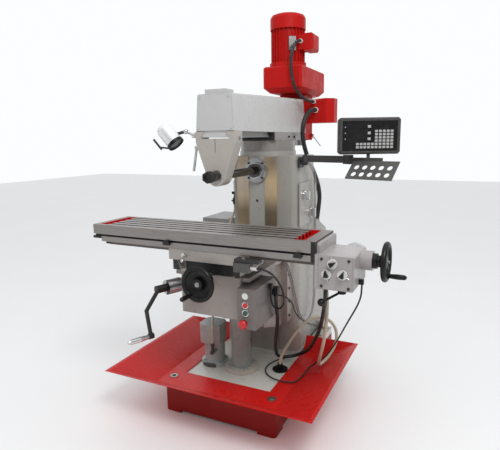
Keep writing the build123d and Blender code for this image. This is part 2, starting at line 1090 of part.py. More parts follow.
def drive_belt():
    def loop(extra):
        top = Pos(0, spindle_height) * Circle(spindle_pulley_radius + extra)
        bottom = Pos(0, drive_motor_height) * Circle(motor_pulley_radius + extra)
        hull = make_hull(top.edges() + bottom.edges())
        start = pulley_y + (pulley_width - belt_width) / 2
        return Plane(origin=(0, start, 0), x_dir=(-1, 0, 0), z_dir=(0, 1, 0)) * hull

    outer = extrude(loop(belt_gap + belt_thickness), belt_width)
    return outer - extrude(loop(belt_gap), belt_width)


def motor_pulley():
    start = pulley_y - 4
    end = drive_motor_front + motor_shaft_socket - 2
    shaft = rod((0, start, drive_motor_height), (0, end, drive_motor_height), motor_shaft_radius)
    return [shaft, pulley(motor_pulley_radius, drive_motor_height, motor_shaft_radius)]


def arbor():
    start = nose_front
    axis = along((0, start, spindle_height), (0, start - 1, spindle_height))
    collar = arbor_flange_length
    sleeve = start - sleeve_end - sleeve_length
    thread = start - sleeve_end
    end = start - arbor_end - arbor_thread_end
    points = [
        (0, 0),
        (arbor_flange_radius, 0),
        (arbor_flange_radius, collar),
        (collar_radius, collar),
        (collar_radius, sleeve),
        (sleeve_radius, sleeve),
        (sleeve_radius, thread),
        (arbor_thread_radius, thread),
        (arbor_thread_radius, end),
        (0, end),
    ]
    shaft = turned(points, axis)
    nut_plane = along((0, sleeve_end, spindle_height), (0, arbor_end, spindle_height))
    nut = extrude(nut_plane * RegularPolygon(arbor_nut_across / math.sqrt(3), 6), arbor_nut_length)
    thread_bore = arbor_thread_radius + seat_gap
    nut -= rod((0, support_front, spindle_height), (0, arbor_end - 1, spindle_height), thread_bore)
    return [shaft, nut]


def turret():
    centre = (0, turret_centre_y)
    body = rod((*centre, turret_bottom), (*centre, turret_block_bottom), turret_disc_radius)
    half = turret_block_width / 2
    block = span((-half, half), (turret_block_front, turret_block_back), (turret_block_bottom, support_top))
    block = fillet(upright_edges(block), turret_block_corner)
    block -= dovetail_slot(turret_block_front, turret_block_back)
    low = turret_block_bottom + turret_pocket_rise
    for offset in turret_pocket_offsets:
        y = turret_centre_y + offset
        pocket_y = (y, y + turret_pocket_length)
        block -= span((half - turret_pocket_depth, half), pocket_y, (low, low + turret_pocket_height))
    return [body, block]


def ram_outline(inset):
    """The ram's cross-section: wider at the bottom."""
    half = ram_bottom_width / 2
    low = ram_bottom + inset
    high = ram_bottom + ram_back_height + 20
    shift = ram_taper / 2
    return [
        (-half + inset + shift * inset, low),
        (half - inset - shift * inset, low),
        (half - inset - shift * (high - ram_bottom), high),
        (-half + inset + shift * (high - ram_bottom), high),
    ]


def ram_side(y_low, y_high, inset):
    """The ram seen from the side: its top rises to the back."""
    rise = (ram_back_height - ram_front_height) / (ram_back - ram_front)
    low = ram_bottom + inset
    front_top = ram_bottom + ram_front_height - inset + rise * (y_low - ram_front)
    back_top = ram_bottom + ram_front_height - inset + rise * (y_high - ram_front)
    outline = [(y_low, low), (y_high, low), (y_high, back_top), (y_low, front_top)]
    return across_x(outline, -ram_bottom_width, ram_bottom_width)


def ram():
    body = across_y(ram_outline(0), ram_front, ram_back) & ram_side(ram_front, ram_back, 0)
    long_edges = body.edges().filter_by(lambda e: e.length > ram_back - ram_front - 1)
    body = fillet(long_edges.group_by(Axis.Z)[-1], ram_edge_radius)
    room_back = ram_back - ram_wall
    body -= across_y(ram_outline(ram_wall), ram_front, room_back) & ram_side(ram_front, room_back, ram_wall)
    body += dovetail(ram_front, ram_back - dovetail_end)
    cap_top = ram_bottom + ram_front_height + ram_cap_rise
    cap_y = (ram_front + ram_cap_setback, ram_front + ram_cap_setback + ram_cap_length)
    body += span((-ram_cap_width / 2, ram_cap_width / 2), cap_y, (cap_top - ram_cap_height, cap_top))
    return [body] + ram_front_plate()


def ram_front_plate():
    half = ram_bottom_width / 2 - ram_plate_inset
    top = ram_bottom + ram_front_height - ram_plate_inset
    low = ram_bottom + ram_plate_inset
    top_half = half - ram_taper / 2 * (top - low)
    outline = [(-half, low), (half, low), (top_half, top), (-top_half, top)]
    face = ram_front - ram_plate
    pieces = [across_y(outline, face, ram_front)]
    for side in (-1, 1):
        for z in (low + ram_screw_inset, top - ram_screw_inset):
            x = side * (half - ram_screw_inset - ram_taper / 2 * (z - low))
            pieces.append(rod((x, face - ram_screw_height, z), (x, face, z), ram_screw_radius))
    return pieces


def arbor_support():
    half = support_width / 2
    back = support_front + support_thickness
    shoulder = Pos(0, support_top - support_shoulder / 2) * Rectangle(support_width, support_shoulder)
    end = Pos(0, spindle_height) * Circle(support_end_radius)
    outline = make_hull(shoulder.edges() + end.edges())
    plane = Plane(origin=(0, back, 0), x_dir=(1, 0, 0), z_dir=(0, -1, 0))
    body = extrude(plane * outline, support_thickness)
    front_edges = body.edges().group_by(Axis.Y)[0]
    body = fillet(front_edges.filter_by(lambda e: e.center().Z < support_top - 1), support_edge_radius)
    body -= dovetail_slot(support_front, back)
    slot_bottom = ram_bottom - dovetail_height - slide_gap - dovetail_floor
    slot_x = (-split_width / 2, split_width / 2)
    body -= span(slot_x, (support_front, back), (slot_bottom - split_length, slot_bottom))
    body -= rod((0, support_front, spindle_height), (0, back, spindle_height), bush_radius)
    bush_start = (0, support_front - bush_rim, spindle_height)
    bush = tube(bush_start, (0, back, spindle_height), bush_radius - seat_gap, sleeve_radius + turn_gap)
    x, y, z = lamp_bracket_point()
    body += rod((x + lamp_boss_length, y, z), (x, y, z), lamp_boss_radius)
    clamp_y, clamp_z = support_front + 40, support_top - 30
    clamp = rod((half, clamp_y, clamp_z), (half + clamp_height, clamp_y, clamp_z), clamp_radius)
    return [body, bush, clamp, coolant_nozzle(half) - body]


def coolant_nozzle(half):
    """A valve on the support's left side with a pipe hanging from it."""
    y, z = support_front + 25, support_top - nozzle_drop
    valve = rod((-half + 18, y, z), (-half - 16, y, z), nozzle_valve_radius)
    pipe = rod((-half - 10, y, z), (-half - nozzle_lean, y, z - nozzle_length), nozzle_radius)
    return valve + pipe


def vertical_head():
    """The head casting, its switch box and the belt housing on top."""
    front = ram_back + slide_gap
    neck = front + head_disc_thickness
    casting = rod((0, front, head_axis_height), (0, neck, head_axis_height), head_disc_radius)
    half = switch_box_left
    casting += span((-half, half), (neck - 4, quill_y), (head_bottom + 6, housing_bottom))
    casting += rod((0, quill_y, head_bottom), (0, quill_y, housing_bottom), head_radius)
    boss_end = half + lever_boss_height
    casting += rod((half - 12, quill_y, lever_hub_z), (boss_end, quill_y, lever_hub_z), lever_boss_radius)
    casting -= rod((0, quill_y, head_bottom), (0, quill_y, housing_bottom), quill_radius)
    shaft_start = boss_end - lever_shaft_length - lever_boss_height
    shaft_bore = lever_shaft_radius + turn_gap
    casting -= rod((shaft_start, quill_y, lever_hub_z), (boss_end, quill_y, lever_hub_z), shaft_bore)
    box_y = (switch_box_front, switch_box_back)
    box = span((half, switch_box_right), box_y, (switch_box_bottom, switch_box_top))
    corner = upright_edges(box).group_by(Axis.X)[-1].sort_by(Axis.Y)[0]
    box = chamfer(corner, switch_box_chamfer)
    box += gland(motor_cable_place, front_way, motor_cable_diameter)
    box += gland(head_conduit_place, front_way, head_conduit_diameter)
    return [casting, box, belt_housing()]


def housing_plan(inset):
    left = housing_shift - housing_width / 2 + inset
    right = housing_shift + housing_width / 2 - inset
    front, back = housing_front + inset, housing_back - inset
    near, far = housing_front_chamfer, housing_back_chamfer - 0.4 * inset
    return [
        (left, front + near),
        (left + near, front),
        (right - near, front),
        (right, front + near),
        (right, back - far),
        (right - far, back),
        (left + far, back),
        (left, back - far),
    ]


def belt_housing():
    upper = across_z(housing_plan(0), housing_bevel_top, housing_top)
    low_points = [(x, y, housing_bottom) for x, y in housing_plan(housing_bevel)]
    high_points = [(x, y, housing_bevel_top) for x, y in housing_plan(0)]
    faces = [make_face(Polyline(points, close=True)) for points in (low_points, high_points)]
    body = upper + loft(faces, ruled=True)
    body = chamfer(body.faces().sort_by(Axis.Z)[-1].edges(), housing_edge)
    room = housing_plan(housing_bevel + housing_skin)
    body -= across_z(room, housing_bottom + housing_skin, housing_top - housing_skin)
    body -= rod((0, quill_y, housing_bottom), (0, quill_y, housing_bottom + housing_skin), quill_radius)
    return body


def head_motor():
    y = head_motor_y
    body = rod((0, y, housing_top), (0, y, motor_bottom), motor_flange_radius)
    body += rod((0, y, motor_bottom), (0, y, motor_top), motor_radius)
    root = motor_radius - motor_fin_root
    reach = motor_fin_radius - root
    fin = Pos(root + reach / 2, 0, 0) * Box(reach, motor_fin_thickness, motor_height)
    middle = Pos(0, y, (motor_bottom + motor_top) / 2)
    body += [middle * Rot(0, 0, turn * 360 / motor_fin_count) * fin for turn in range(motor_fin_count)]
    low, high = motor_bottom + terminal_mount_low, motor_bottom + terminal_mount_high
    mount_y = (y - terminal_mount_front, y + terminal_mount_back)
    body += span((terminal_mount_left, terminal_mount_right), mount_y, (low, high))
    lid_y = (y - terminal_lid_front, y + terminal_lid_back)
    lid_z = (low - terminal_lid_margin, high + terminal_lid_margin)
    lid = span((terminal_mount_right, terminal_lid_right), lid_y, lid_z)
    body += chamfer(lid.faces().sort_by(Axis.X)[-1].edges(), terminal_lid_edge)
    body += gland(terminal_place, front_way, motor_cable_diameter)
    return [body, fan_cover()]


def fan_cover():
    axis = along((0, head_motor_y, motor_top - fan_cover_overlap), (0, head_motor_y, motor_top))
    inner = motor_fin_radius + slide_gap
    outer, height = fan_cover_radius, fan_cover_height
    points = [
        (inner, 0),
        (outer, 0),
        (outer, height - 22),
        (outer - 8, height - 7),
        (outer - 26, height),
        (0, height),
        (0, height - fan_cover_sheet),
        (outer - 28, height - fan_cover_sheet),
        (inner - 7, height - 11),
        (inner, height - 24),
    ]
    return turned(points, axis)


def quill():
    low = head_bottom - quill_show
    outer, inner = quill_radius - turn_gap, quill_radius - quill_wall
    return tube((0, quill_y, low), (0, quill_y, low + quill_length), outer, inner)


def vertical_spindle():
    low = head_bottom - quill_show - spindle_nose_height
    bore = quill_radius - quill_wall - turn_gap
    axis = along((0, quill_y, low), (0, quill_y, low + 1))
    shoulder = spindle_nose_height - face_gap
    end = spindle_nose_height + quill_length + 2
    points = [
        (0, 0),
        (spindle_nose_radius, 0),
        (spindle_nose_radius, shoulder),
        (bore, shoulder),
        (bore, end),
        (0, end),
    ]
    return turned(points, axis)


def quill_lever():
    start = switch_box_left + lever_boss_height + face_gap
    hub = rod((start, quill_y, lever_hub_z), (start + 12, quill_y, lever_hub_z), lever_hub_radius)
    shaft_end_point = (start - lever_shaft_length, quill_y, lever_hub_z)
    hub += rod(shaft_end_point, (start, quill_y, lever_hub_z), lever_shaft_radius)
    end = (start + lever_reach, quill_y + lever_back, lever_hub_z - lever_drop)
    return hub + rod((start + 6, quill_y, lever_hub_z), end, lever_rod_radius)


def way_outline(gap):
    way, root = way_width / 2 + gap, way_root_width / 2 + gap
    foot_y = column_front + 2
    return [(-way, way_front - gap), (way, way_front - gap), (root, foot_y), (-root, foot_y)]


def knee_way_outline(gap):
    low = knee_way_width / 2 + gap
    high = low + knee_way_flare
    top = knee_top + gap
    return [(-low, knee_shelf), (low, knee_shelf), (high, top), (-high, top)]


def crank_point(distance, drop=0):
    """A point on the crank's axis, measured out from the knee's front face."""
    angle = math.radians(crank_angle)
    x = crank_start_x - distance * math.sin(angle)
    y = knee_front - distance * math.cos(angle)
    return (x, y, crank_height - drop)


def skirt_outline(front):
    """The knee's side wall below its floor, in Y and Z, deeper towards the column."""
    front_bottom = skirt_bottom + skirt_slope * (skirt_flat - front)
    root = knee_bottom + 1
    points = [(front, root), (front, front_bottom), (skirt_flat, skirt_bottom)]
    return [*points, (jaw_front + 1, skirt_bottom), (jaw_front + 1, root)]


def knee():
    half = knee_width / 2
    shelf = knee_shelf_width / 2
    back = way_front - slide_gap
    body = span((-half, half), (knee_front, back), (knee_bottom, knee_shelf))
    body = fillet(upright_edges(body).group_by(Axis.Y)[0], knee_corner)
    shelf_y = (knee_front + knee_shelf_setback, back)
    body += span((-shelf, shelf), shelf_y, (knee_shelf - knee_shelf_thickness, knee_shelf))
    inner = half - knee_wall
    for side, skirt_front in zip((-1, 1), skirt_fronts):
        jaw_x = sorted((side * jaw_inner, side * shelf))
        body += span(jaw_x, (jaw_front, column_front - jaw_back_gap), (jaw_bottom, knee_top - jaw_top_drop))
        body += across_x(skirt_outline(skirt_front), *sorted((side * inner, side * half)))
        for z in gib_heights:
            body += rod((side * shelf, gib_y, z), (side * (shelf + gib_head), gib_y, z), gib_radius)
    body += across_y(knee_way_outline(0), knee_front, jaw_front)
    body -= across_z(way_outline(slide_gap), jaw_bottom - 1, knee_top)
    roof = knee_shelf - knee_roof
    body -= span((-inner, inner), (knee_front + knee_wall, jaw_front + jaw_recess), (jaw_bottom - 1, roof))
    slot = screw_slot_width / 2
    slot_y = (knee_front + screw_slot_front, jaw_front - screw_slot_back)
    body -= span((-slot, slot), slot_y, (knee_shelf - screw_slot_depth, knee_top))
    boss_end = (0, knee_front - cross_boss_length, cross_screw_height)
    body += rod((0, knee_front, cross_screw_height), boss_end, cross_boss_radius)
    body += rod(crank_point(-14), crank_point(crank_boss_length), crank_boss_radius)
    bore_end = (0, knee_front + screw_slot_front + 1, cross_screw_height)
    body -= rod(boss_end, bore_end, cross_screw_radius + turn_gap)
    crank_bore = crank_shaft_radius + turn_gap
    body -= rod(crank_point(-crank_shaft_inside - 20), crank_point(crank_boss_length), crank_bore)
    lift_screw = rod((0, lift_y, lift_screw_bottom), (0, lift_y, roof), lift_screw_radius)
    reach = knee_way_width / 2 - apron_inset
    apron_z = (knee_shelf + apron_inset, knee_top - apron_top_drop)
    apron = span((-reach, reach), (knee_front - apron_thickness, knee_front), apron_z)
    apron -= rod(boss_end, (0, knee_front, cross_screw_height), cross_boss_radius)
    return [body, lift_screw, apron]


def pedestal():
    low, high = foot_top, foot_top + pedestal_flange_height
    body = tube((0, lift_y, low), (0, lift_y, pedestal_top), pedestal_radius, pedestal_bore)
    body += tube((0, lift_y, low), (0, lift_y, high), pedestal_flange_radius, pedestal_bore)
    nut_low = (0, lift_y, pedestal_top - lift_nut_length)
    outer, inner = pedestal_bore - seat_gap, lift_screw_radius + turn_gap
    pieces = [body, tube(nut_low, (0, lift_y, pedestal_top), outer, inner)]
    for x, y in around(0, lift_y, pedestal_bolt_circle):
        pieces.append(rod((x, y, high), (x, y, high + pedestal_bolt_height), pedestal_bolt_radius))
    return pieces


def control_box():
    left = knee_width / 2
    body = span((left, control_right), (control_front, control_back), (control_bottom, control_top))
    body = fillet(body.edges().group_by(Axis.Y)[0], control_edge)
    face = control_front - button_bezel_height
    root = control_front + button_bezel_height
    for x, z in button_places():
        body += rod((x, face, z), (x, root, z), button_bezel)
    x, z = mushroom_place()
    body += rod((x, face, z), (x, root, z), mushroom_bezel)
    hole_end = control_front + button_depth + button_room
    for x, z in button_places() + [mushroom_place()]:
        body -= rod((x, face, z), (x, hole_end, z), button_radius + face_gap)
    body += elbow(switch_elbow_place, control_right, switch_cable_diameter)
    body += elbow(feed_elbow_place, control_right, feed_conduit_diameter)
    return body + gland(knee_cable_place, right_way, knee_cable_diameter)


def button_places():
    return [(button_x, control_top - drop) for drop in button_drops]


def mushroom_place():
    return (button_x - mushroom_shift, control_top - mushroom_drop)


def push_button(index):
    x, z = button_places()[index]
    return rod((x, control_front - button_stand, z), (x, control_front + button_depth, z), button_radius)


def emergency_button():
    x, z = mushroom_place()
    depth = button_depth
    axis = along((x, control_front + depth, z), (x, control_front, z))
    points = [
        (0, 0),
        (button_radius, 0),
        (button_radius, depth + 12),
        (mushroom_radius, depth + 15),
        (mushroom_radius, depth + 22),
        (mushroom_radius - 5, depth + 27),
        (0, depth + 29),
    ]
    return turned(points, axis)


def handwheel(axis, dial_end, rim_at):
    """A dished wheel on a hub, seen from its dial outwards along the axis."""
    web_radius = wheel_radius - wheel_rim
    web = [
        (0, 0),
        (wheel_dial_radius, 0),
        (wheel_dial_radius, dial_end),
        (wheel_hub_radius, dial_end),
        (wheel_hub_radius, rim_at - 22),
        (web_radius, rim_at - 5),
        (web_radius, rim_at + 5),
        (wheel_hub_radius, rim_at - 12),
        (wheel_hub_radius, rim_at + 4),
        (0, rim_at + 4),
    ]
    ring = Pos(0, 0, rim_at) * Torus(web_radius, wheel_rim)
    return turned(web, axis) + axis.location * ring


def wheel_handle(axis, rim_at, angle):
    """A tapered grip on the wheel's rim."""
    place = math.radians(angle)
    x, y = wheel_handle_offset * math.cos(place), wheel_handle_offset * math.sin(place)
    length = wheel_handle_length
    points = [
        (0, 0),
        (7, 0),
        (7, 10),
        (9, 12),
        (wheel_handle_radius, length * 0.55),
        (wheel_handle_radius - 1, length - 8),
        (wheel_handle_radius - 6, length),
        (0, length),
    ]
    return axis.location * Pos(x, y, rim_at) * turned(points, Plane.XY)


def cross_wheel():
    start = knee_front - cross_boss_length - face_gap
    axis = Plane(origin=(0, start, cross_screw_height), x_dir=(1, 0, 0), z_dir=(0, -1, 0))
    rim_at = start - knee_front + cross_wheel_reach
    wheel = handwheel(axis, cross_wheel_dial, rim_at)
    wheel += wheel_handle(axis, rim_at, cross_wheel_handle_angle)
    screw_end = (0, jaw_front - cross_screw_end, cross_screw_height)
    return [wheel, rod((0, start, cross_screw_height), screw_end, cross_screw_radius)]


def knee_crank():
    start = crank_boss_length + face_gap
    dial = rod(crank_point(start), crank_point(crank_dial_end), crank_dial_radius)
    dial += rod(crank_point(-crank_shaft_inside), crank_point(start), crank_shaft_radius)
    bend = crank_point(crank_bend_at, crank_bend_drop)
    end = crank_point(crank_end_at, crank_radius)
    arm = rod(crank_point(crank_dial_end), crank_point(crank_hub_end), crank_hub_radius)
    arm += rod(crank_point(crank_arm_start), bend, crank_arm_radius)
    arm += rod(bend, end, crank_arm_radius) + Pos(*bend) * Sphere(crank_arm_radius)
    eye_start, eye_end = crank_end_at - crank_eye_half, crank_end_at + crank_eye_half
    arm += rod(crank_point(eye_start, crank_radius), crank_point(eye_end, crank_radius), crank_eye_radius)
    pin_end = crank_point(eye_end + crank_grip_length, crank_radius)
    arm += rod(crank_point(eye_end, crank_radius), pin_end, crank_pin_radius)
    return [dial, arm]


def crank_handle():
    start = crank_end_at + crank_eye_half + face_gap
    axis = along(crank_point(start, crank_radius), crank_point(start + 1, crank_radius))
    length = crank_grip_length + 3
    bore = crank_pin_radius + turn_gap
    points = [
        (bore, 0),
        (10, 0),
        (12.5, length * 0.4),
        (11.5, length - 10),
        (8, length),
        (0, length),
        (0, length - 3),
        (bore, length - 3),
    ]
    return turned(points, axis)


def saddle():
    half = saddle_length / 2
    front, back = saddle_front, saddle_back
    y = table_centre_y
    body = span((-half, half), (front, back), (saddle_bottom, saddle_top))
    jaw_root = knee_way_width / 2
    jaw_edge = jaw_root + knee_way_flare + saddle_jaw_width
    for side in (-1, 1):
        jaw_x = sorted((side * jaw_root, side * jaw_edge))
        body += span(jaw_x, (front, back), (saddle_bottom - saddle_jaw_height, saddle_bottom))
    body -= across_y(knee_way_outline(slide_gap), front, back)
    nut_x, nut_y = cross_nut_width / 2, cross_nut_length / 2
    body += span((-nut_x, nut_x), (y - nut_y, y + nut_y), (knee_shelf - cross_nut_drop, saddle_bottom))
    cross_bore = cross_screw_radius + turn_gap
    body -= rod((0, front, cross_screw_height), (0, back, cross_screw_height), cross_bore)
    body -= across_x(table_way_outline(slide_gap, saddle_top), -half, half)
    nut_x, nut_y = table_nut_width / 2, table_nut_depth / 2
    nut_z = (saddle_top - table_way_height - 2, table_screw_height + table_nut_rise)
    body += span((-nut_x, nut_x), (y - nut_y, y + nut_y), nut_z)
    table_bore = table_screw_radius + turn_gap
    body -= rod((-half, y, table_screw_height), (half, y, table_screw_height), table_bore)
    stud_z = saddle_bottom + stud_rise
    body += rod((stud_x, front, stud_z), (stud_x, front - stud_length, stud_z), stud_radius)
    bore_start = (stud_x, front + stud_bore_depth, stud_z)
    body -= rod(bore_start, (stud_x, front - stud_length, stud_z), stud_bore + turn_gap)
    for place in (scale_place, shifted(scale_place)):
        body += gland(place, back_way, scale_cable_diameter)
    return body


def table_way_outline(gap, top):
    low = saddle_top - table_way_height - gap
    rise = table_way_flare * (top - saddle_top) / table_way_height
    half = table_way_width / 2 + gap - rise
    wide = table_way_width / 2 + table_way_flare + gap
    y = table_centre_y
    return [(y - half, top), (y + half, top), (y + wide, low), (y - wide, low)]


def clamp_lever():
    front = saddle_front - stud_length - face_gap
    x, z = stud_x, saddle_bottom + stud_rise
    body = rod((x, front, z), (x, front - clamp_hub_length, z), clamp_hub_radius)
    body += rod((x, front + stud_length + stud_bore_depth, z), (x, front, z), stud_bore)
    end = tuple(Vector(x, front, z) + Vector(*clamp_rod_end))
    body += rod((x, front - 8, z), end, clamp_rod_radius)
    return body + Pos(*end) * Sphere(clamp_ball_radius)


def limit_switch():
    front, half, top = saddle_front, saddle_length / 2, saddle_top
    bracket_x = (half - switch_bracket_inset, half + switch_bracket_reach)
    bracket_z = (top - switch_bracket_low, top - switch_bracket_high)
    bracket = span(bracket_x, (front - switch_bracket_depth, front), bracket_z)
    box_x = (half - switch_inset, half + switch_reach)
    box_y = (front - switch_front, front - switch_back)
    box = span(box_x, box_y, (top - switch_low, top - switch_bracket_low))
    box = fillet(upright_edges(box), switch_corner)
    x, y, z = switch_place
    box += rod((half + switch_reach, y, z), (x, y, z), switch_gland_radius)
    roller_place = (half + roller_x, front - roller_y)
    roller = rod((*roller_place, bracket_z[1]), (*roller_place, bracket_z[1] + 4), roller_radius)
    return [bracket, box, roller]


def table():
    front, back = table_front, table_back
    left, right = table_left, table_right
    y = table_centre_y
    split = table_split
    low_left = left + lower_strip_inset
    body = span((left, right), (front, back), (split, table_top))
    strip_y = (front + lower_strip_step, back - lower_strip_step)
    body += span((low_left, right), strip_y, (saddle_top + slide_gap, split))
    body += across_x(table_way_outline(0, saddle_top + slide_gap + 1), low_left, right)
    body -= span((left, right), (front, front + dog_slot_depth), (split, split + dog_slot_width))
    groove = table_screw_slot / 2
    groove_z = (saddle_top - table_way_height - 1, table_screw_height + table_screw_cover)
    body -= span((left, right), (y - groove, y + groove), groove_z)
    first, last = left + trough_rim, right - trough_rim
    neck, head = slot_width / 2, slot_head_width / 2
    neck_low = table_top - slot_neck
    for index in range(slot_count):
        slot_y = y + (index - (slot_count - 1) / 2) * slot_spacing
        body -= span((first, last), (slot_y - neck, slot_y + neck), (neck_low, table_top))
        body -= span((first, last), (slot_y - head, slot_y + head), (neck_low - slot_head_height, neck_low))
    for start in (first, last - trough_length):
        trough_y = (front + trough_side, back - trough_side)
        body -= span((start, start + trough_length), trough_y, (table_top - trough_depth, table_top))
    x, drain_at, low = drain_place
    body += rod((x, drain_at, low - drain_length), (x, drain_at, low + 2), drain_radius)
    return body


def table_trim():
    """The end brackets that carry the table screw, and the trip dogs."""
    front, y, z = table_front, table_centre_y, table_screw_height
    low, split = saddle_top - table_way_height, table_split
    right_x = (table_right, gearbox_left)
    right_bracket = span(right_x, (front, table_back), (saddle_top, table_top))
    right_bracket += span(right_x, (y - end_bracket_foot, y + end_bracket_foot), (low, saddle_top))
    left_x = (table_left + left_bracket_setback, table_left + lower_strip_inset)
    left_bracket = span(left_x, (y - left_bracket_half, y + left_bracket_half), (low, split))
    bar_x = (table_left - left_bracket_overhang, left_x[1])
    left_bracket += span(bar_x, (front + 4, y - 40), (split - left_bracket_bar, split))
    screw_hole = rod((table_left, y, z), (gearbox_left, y, z), table_screw_radius + turn_gap)
    pieces = [right_bracket - screw_hole, left_bracket - screw_hole]
    half, key = dog_width / 2, dog_key_width / 2
    for place in dog_places:
        x = table_centre_x + place
        dog = span((x - half, x + half), (front - dog_thickness, front), (split - dog_low, split + dog_high))
        dog = chamfer(dog.edges().filter_by(Axis.Y).group_by(Axis.Z)[-1], dog_edge)
        key_z = (split + dog_key_play, split + dog_slot_width - dog_key_play)
        dog += span((x - key, x + key), (front - 1, front + dog_slot_depth - 2), key_z)
        pieces.append(dog)
    return pieces


def feed_gearbox():
    y, z = table_centre_y, table_screw_height
    low, high = gearbox_bottom, gearbox_top
    body = span((gearbox_left, gearbox_right), (gearbox_front, gearbox_back), (low, high))
    body = fillet(body.edges().filter_by(Axis.Y).group_by(Axis.X)[-1], gearbox_edge)
    flange_y = (gearbox_front + gearbox_flange_inset, table_back - gearbox_flange_back)
    flange_z = (low + gearbox_flange_low, table_top - gearbox_flange_drop)
    flange = span((gearbox_left, gearbox_left + gearbox_flange), flange_y, flange_z)
    body += fillet(flange.edges().filter_by(Axis.X).group_by(Axis.Z)[-1], gearbox_flange)
    boss_end = gearbox_right + gearbox_boss_length
    body += rod((gearbox_right - 2, y, z), (boss_end, y, z), gearbox_boss_radius)
    lever = (feed_lever_x, feed_lever_y)
    boss_low = low - feed_lever_boss_height
    body += rod((*lever, boss_low), (*lever, low + 4), feed_lever_boss_radius)
    body -= rod((gearbox_left, y, z), (boss_end, y, z), table_screw_radius + turn_gap)
    body -= rod((*lever, boss_low), (*lever, low + 20), feed_lever_shaft_radius + turn_gap)
    body += gland(gearbox_place, down_way, feed_conduit_diameter)
    body += elbow(feed_cable_place, gearbox_right, feed_cable_diameter)
    face = gearbox_front - gearbox_plate
    plate_left, plate_right = gearbox_left + gearbox_plate_start, gearbox_left + gearbox_plate_end
    plate_z = (low + gearbox_plate_margin, high - gearbox_plate_margin)
    plate = span((plate_left, plate_right), (face, gearbox_front), plate_z)
    for dial_x, dial_z in dial_places():
        hole = rod((dial_x, face, dial_z), (dial_x, gearbox_front + 20, dial_z), dial_shaft_radius + turn_gap)
        body -= hole
        plate -= hole
    pieces = [body, plate]
    for x in (plate_left + plate_screw_inset, plate_right - plate_screw_inset):
        for screw_z in (low + plate_screw_inset + 2, high - plate_screw_inset - 2):
            screw_face = (x, face - plate_screw_height, screw_z)
            pieces.append(rod(screw_face, (x, face, screw_z), plate_screw_radius))
    return pieces + [feed_motor()]


def feed_motor():
    """The ribbed motor behind the gearbox."""
    x, z = gearbox_left + feed_motor_offset, table_screw_height - feed_motor_drop
    motor = rod((x, gearbox_back, z), (x, gearbox_back + feed_motor_length, z), feed_motor_radius)
    groove_floor = feed_motor_radius - feed_motor_groove_depth
    for step in range(feed_motor_groove_count):
        start = gearbox_back + feed_motor_groove_start + feed_motor_groove_pitch * step
        end = start + feed_motor_groove_width
        motor -= tube((x, start, z), (x, end, z), feed_motor_radius + 1, groove_floor)
    return motor


def dial_places():
    return [(gearbox_left + x, gearbox_bottom + z) for x, z in dial_offsets]


def feed_dial(index, pointer_angle, lever_angle):
    """A selector dial with a pointer and a short lever, their angles taken from straight up."""
    x, z = dial_places()[index]
    y = gearbox_front - gearbox_plate - face_gap
    body = rod((x, y, z), (x, y - dial_height, z), dial_radius)
    body += rod((x, y + dial_shaft_length, z), (x, y, z), dial_shaft_radius)
    half = pointer_width / 2
    pointer = across_y([(0, pointer_tip), (half, -pointer_back), (-half, -pointer_back)], -pointer_height, 1)
    body += Pos(x, y - dial_height, z) * Rot(0, pointer_angle, 0) * pointer
    lever = rod((0, 0, dial_shaft_radius), (0, 0, dial_lever_reach), dial_lever_radius)
    return body + Pos(x, y - dial_height / 2, z) * Rot(0, lever_angle, 0) * lever


def feed_lever():
    x, y, z = feed_lever_x, feed_lever_y, gearbox_bottom - feed_lever_boss_height - face_gap
    body = rod((x, y, z), (x, y, z - feed_lever_hub_height), feed_lever_hub_radius)
    body += rod((x, y, z), (x, y, z + feed_lever_shaft_length), feed_lever_shaft_radius)
    end = tuple(Vector(x, y, z) + Vector(*feed_lever_end))
    body += rod((x, y, z - feed_lever_hub_height / 2), end, feed_lever_rod_radius)
    return body + Pos(*end) * Sphere(feed_lever_ball)


def table_wheel():
    start = gearbox_right + gearbox_boss_length + face_gap
    y, z = table_centre_y, table_screw_height
    axis = Plane(origin=(start, y, z), x_dir=(0, 1, 0), z_dir=(1, 0, 0))
    wheel = handwheel(axis, table_wheel_dial, table_wheel_rim_at)
    wheel += wheel_handle(axis, table_wheel_rim_at, table_wheel_handle_angle)
    return [wheel, rod((table_left + table_screw_start, y, z), (start, y, z), table_screw_radius)]


def hinge_knuckle(z, leaf_x):
    """One half of a door hinge, with the leaf that holds it to the cabinet's or door's back."""
    x = -column_width / 2 - cabinet_depth + door_thickness - slide_gap / 2
    y = cabinet_back + hinge_reach
    leaf = span(leaf_x, (cabinet_back - 1, cabinet_back + hinge_leaf_thickness), (z, z + hinge_length))
    return leaf + rod((x, y, z), (x, y, z + hinge_length), hinge_radius)


def cabinet():
    right = -column_width / 2
    left = right - cabinet_depth + door_thickness
    body = span((left, right), (cabinet_front, cabinet_back), (cabinet_bottom, cabinet_top))
    wall = cabinet_wall
    room_y = (cabinet_front + wall, cabinet_back - wall)
    body -= span((left - 1, right - wall), room_y, (cabinet_bottom + wall, cabinet_top - wall))
    for z in hinge_heights:
        body += hinge_knuckle(z, (left, left + hinge_leaf_length))
    return body


def cabinet_door():
    right = -column_width / 2 - cabinet_depth + door_thickness - slide_gap
    body = span((right - door_thickness, right), (cabinet_front, cabinet_back), (cabinet_bottom, cabinet_top))
    body = fillet(body.faces().sort_by(Axis.X)[0].edges(), door_edge)
    for z in hinge_heights:
        body += hinge_knuckle(z + hinge_length + slide_gap, (right - door_thickness + door_edge, right))
    return body


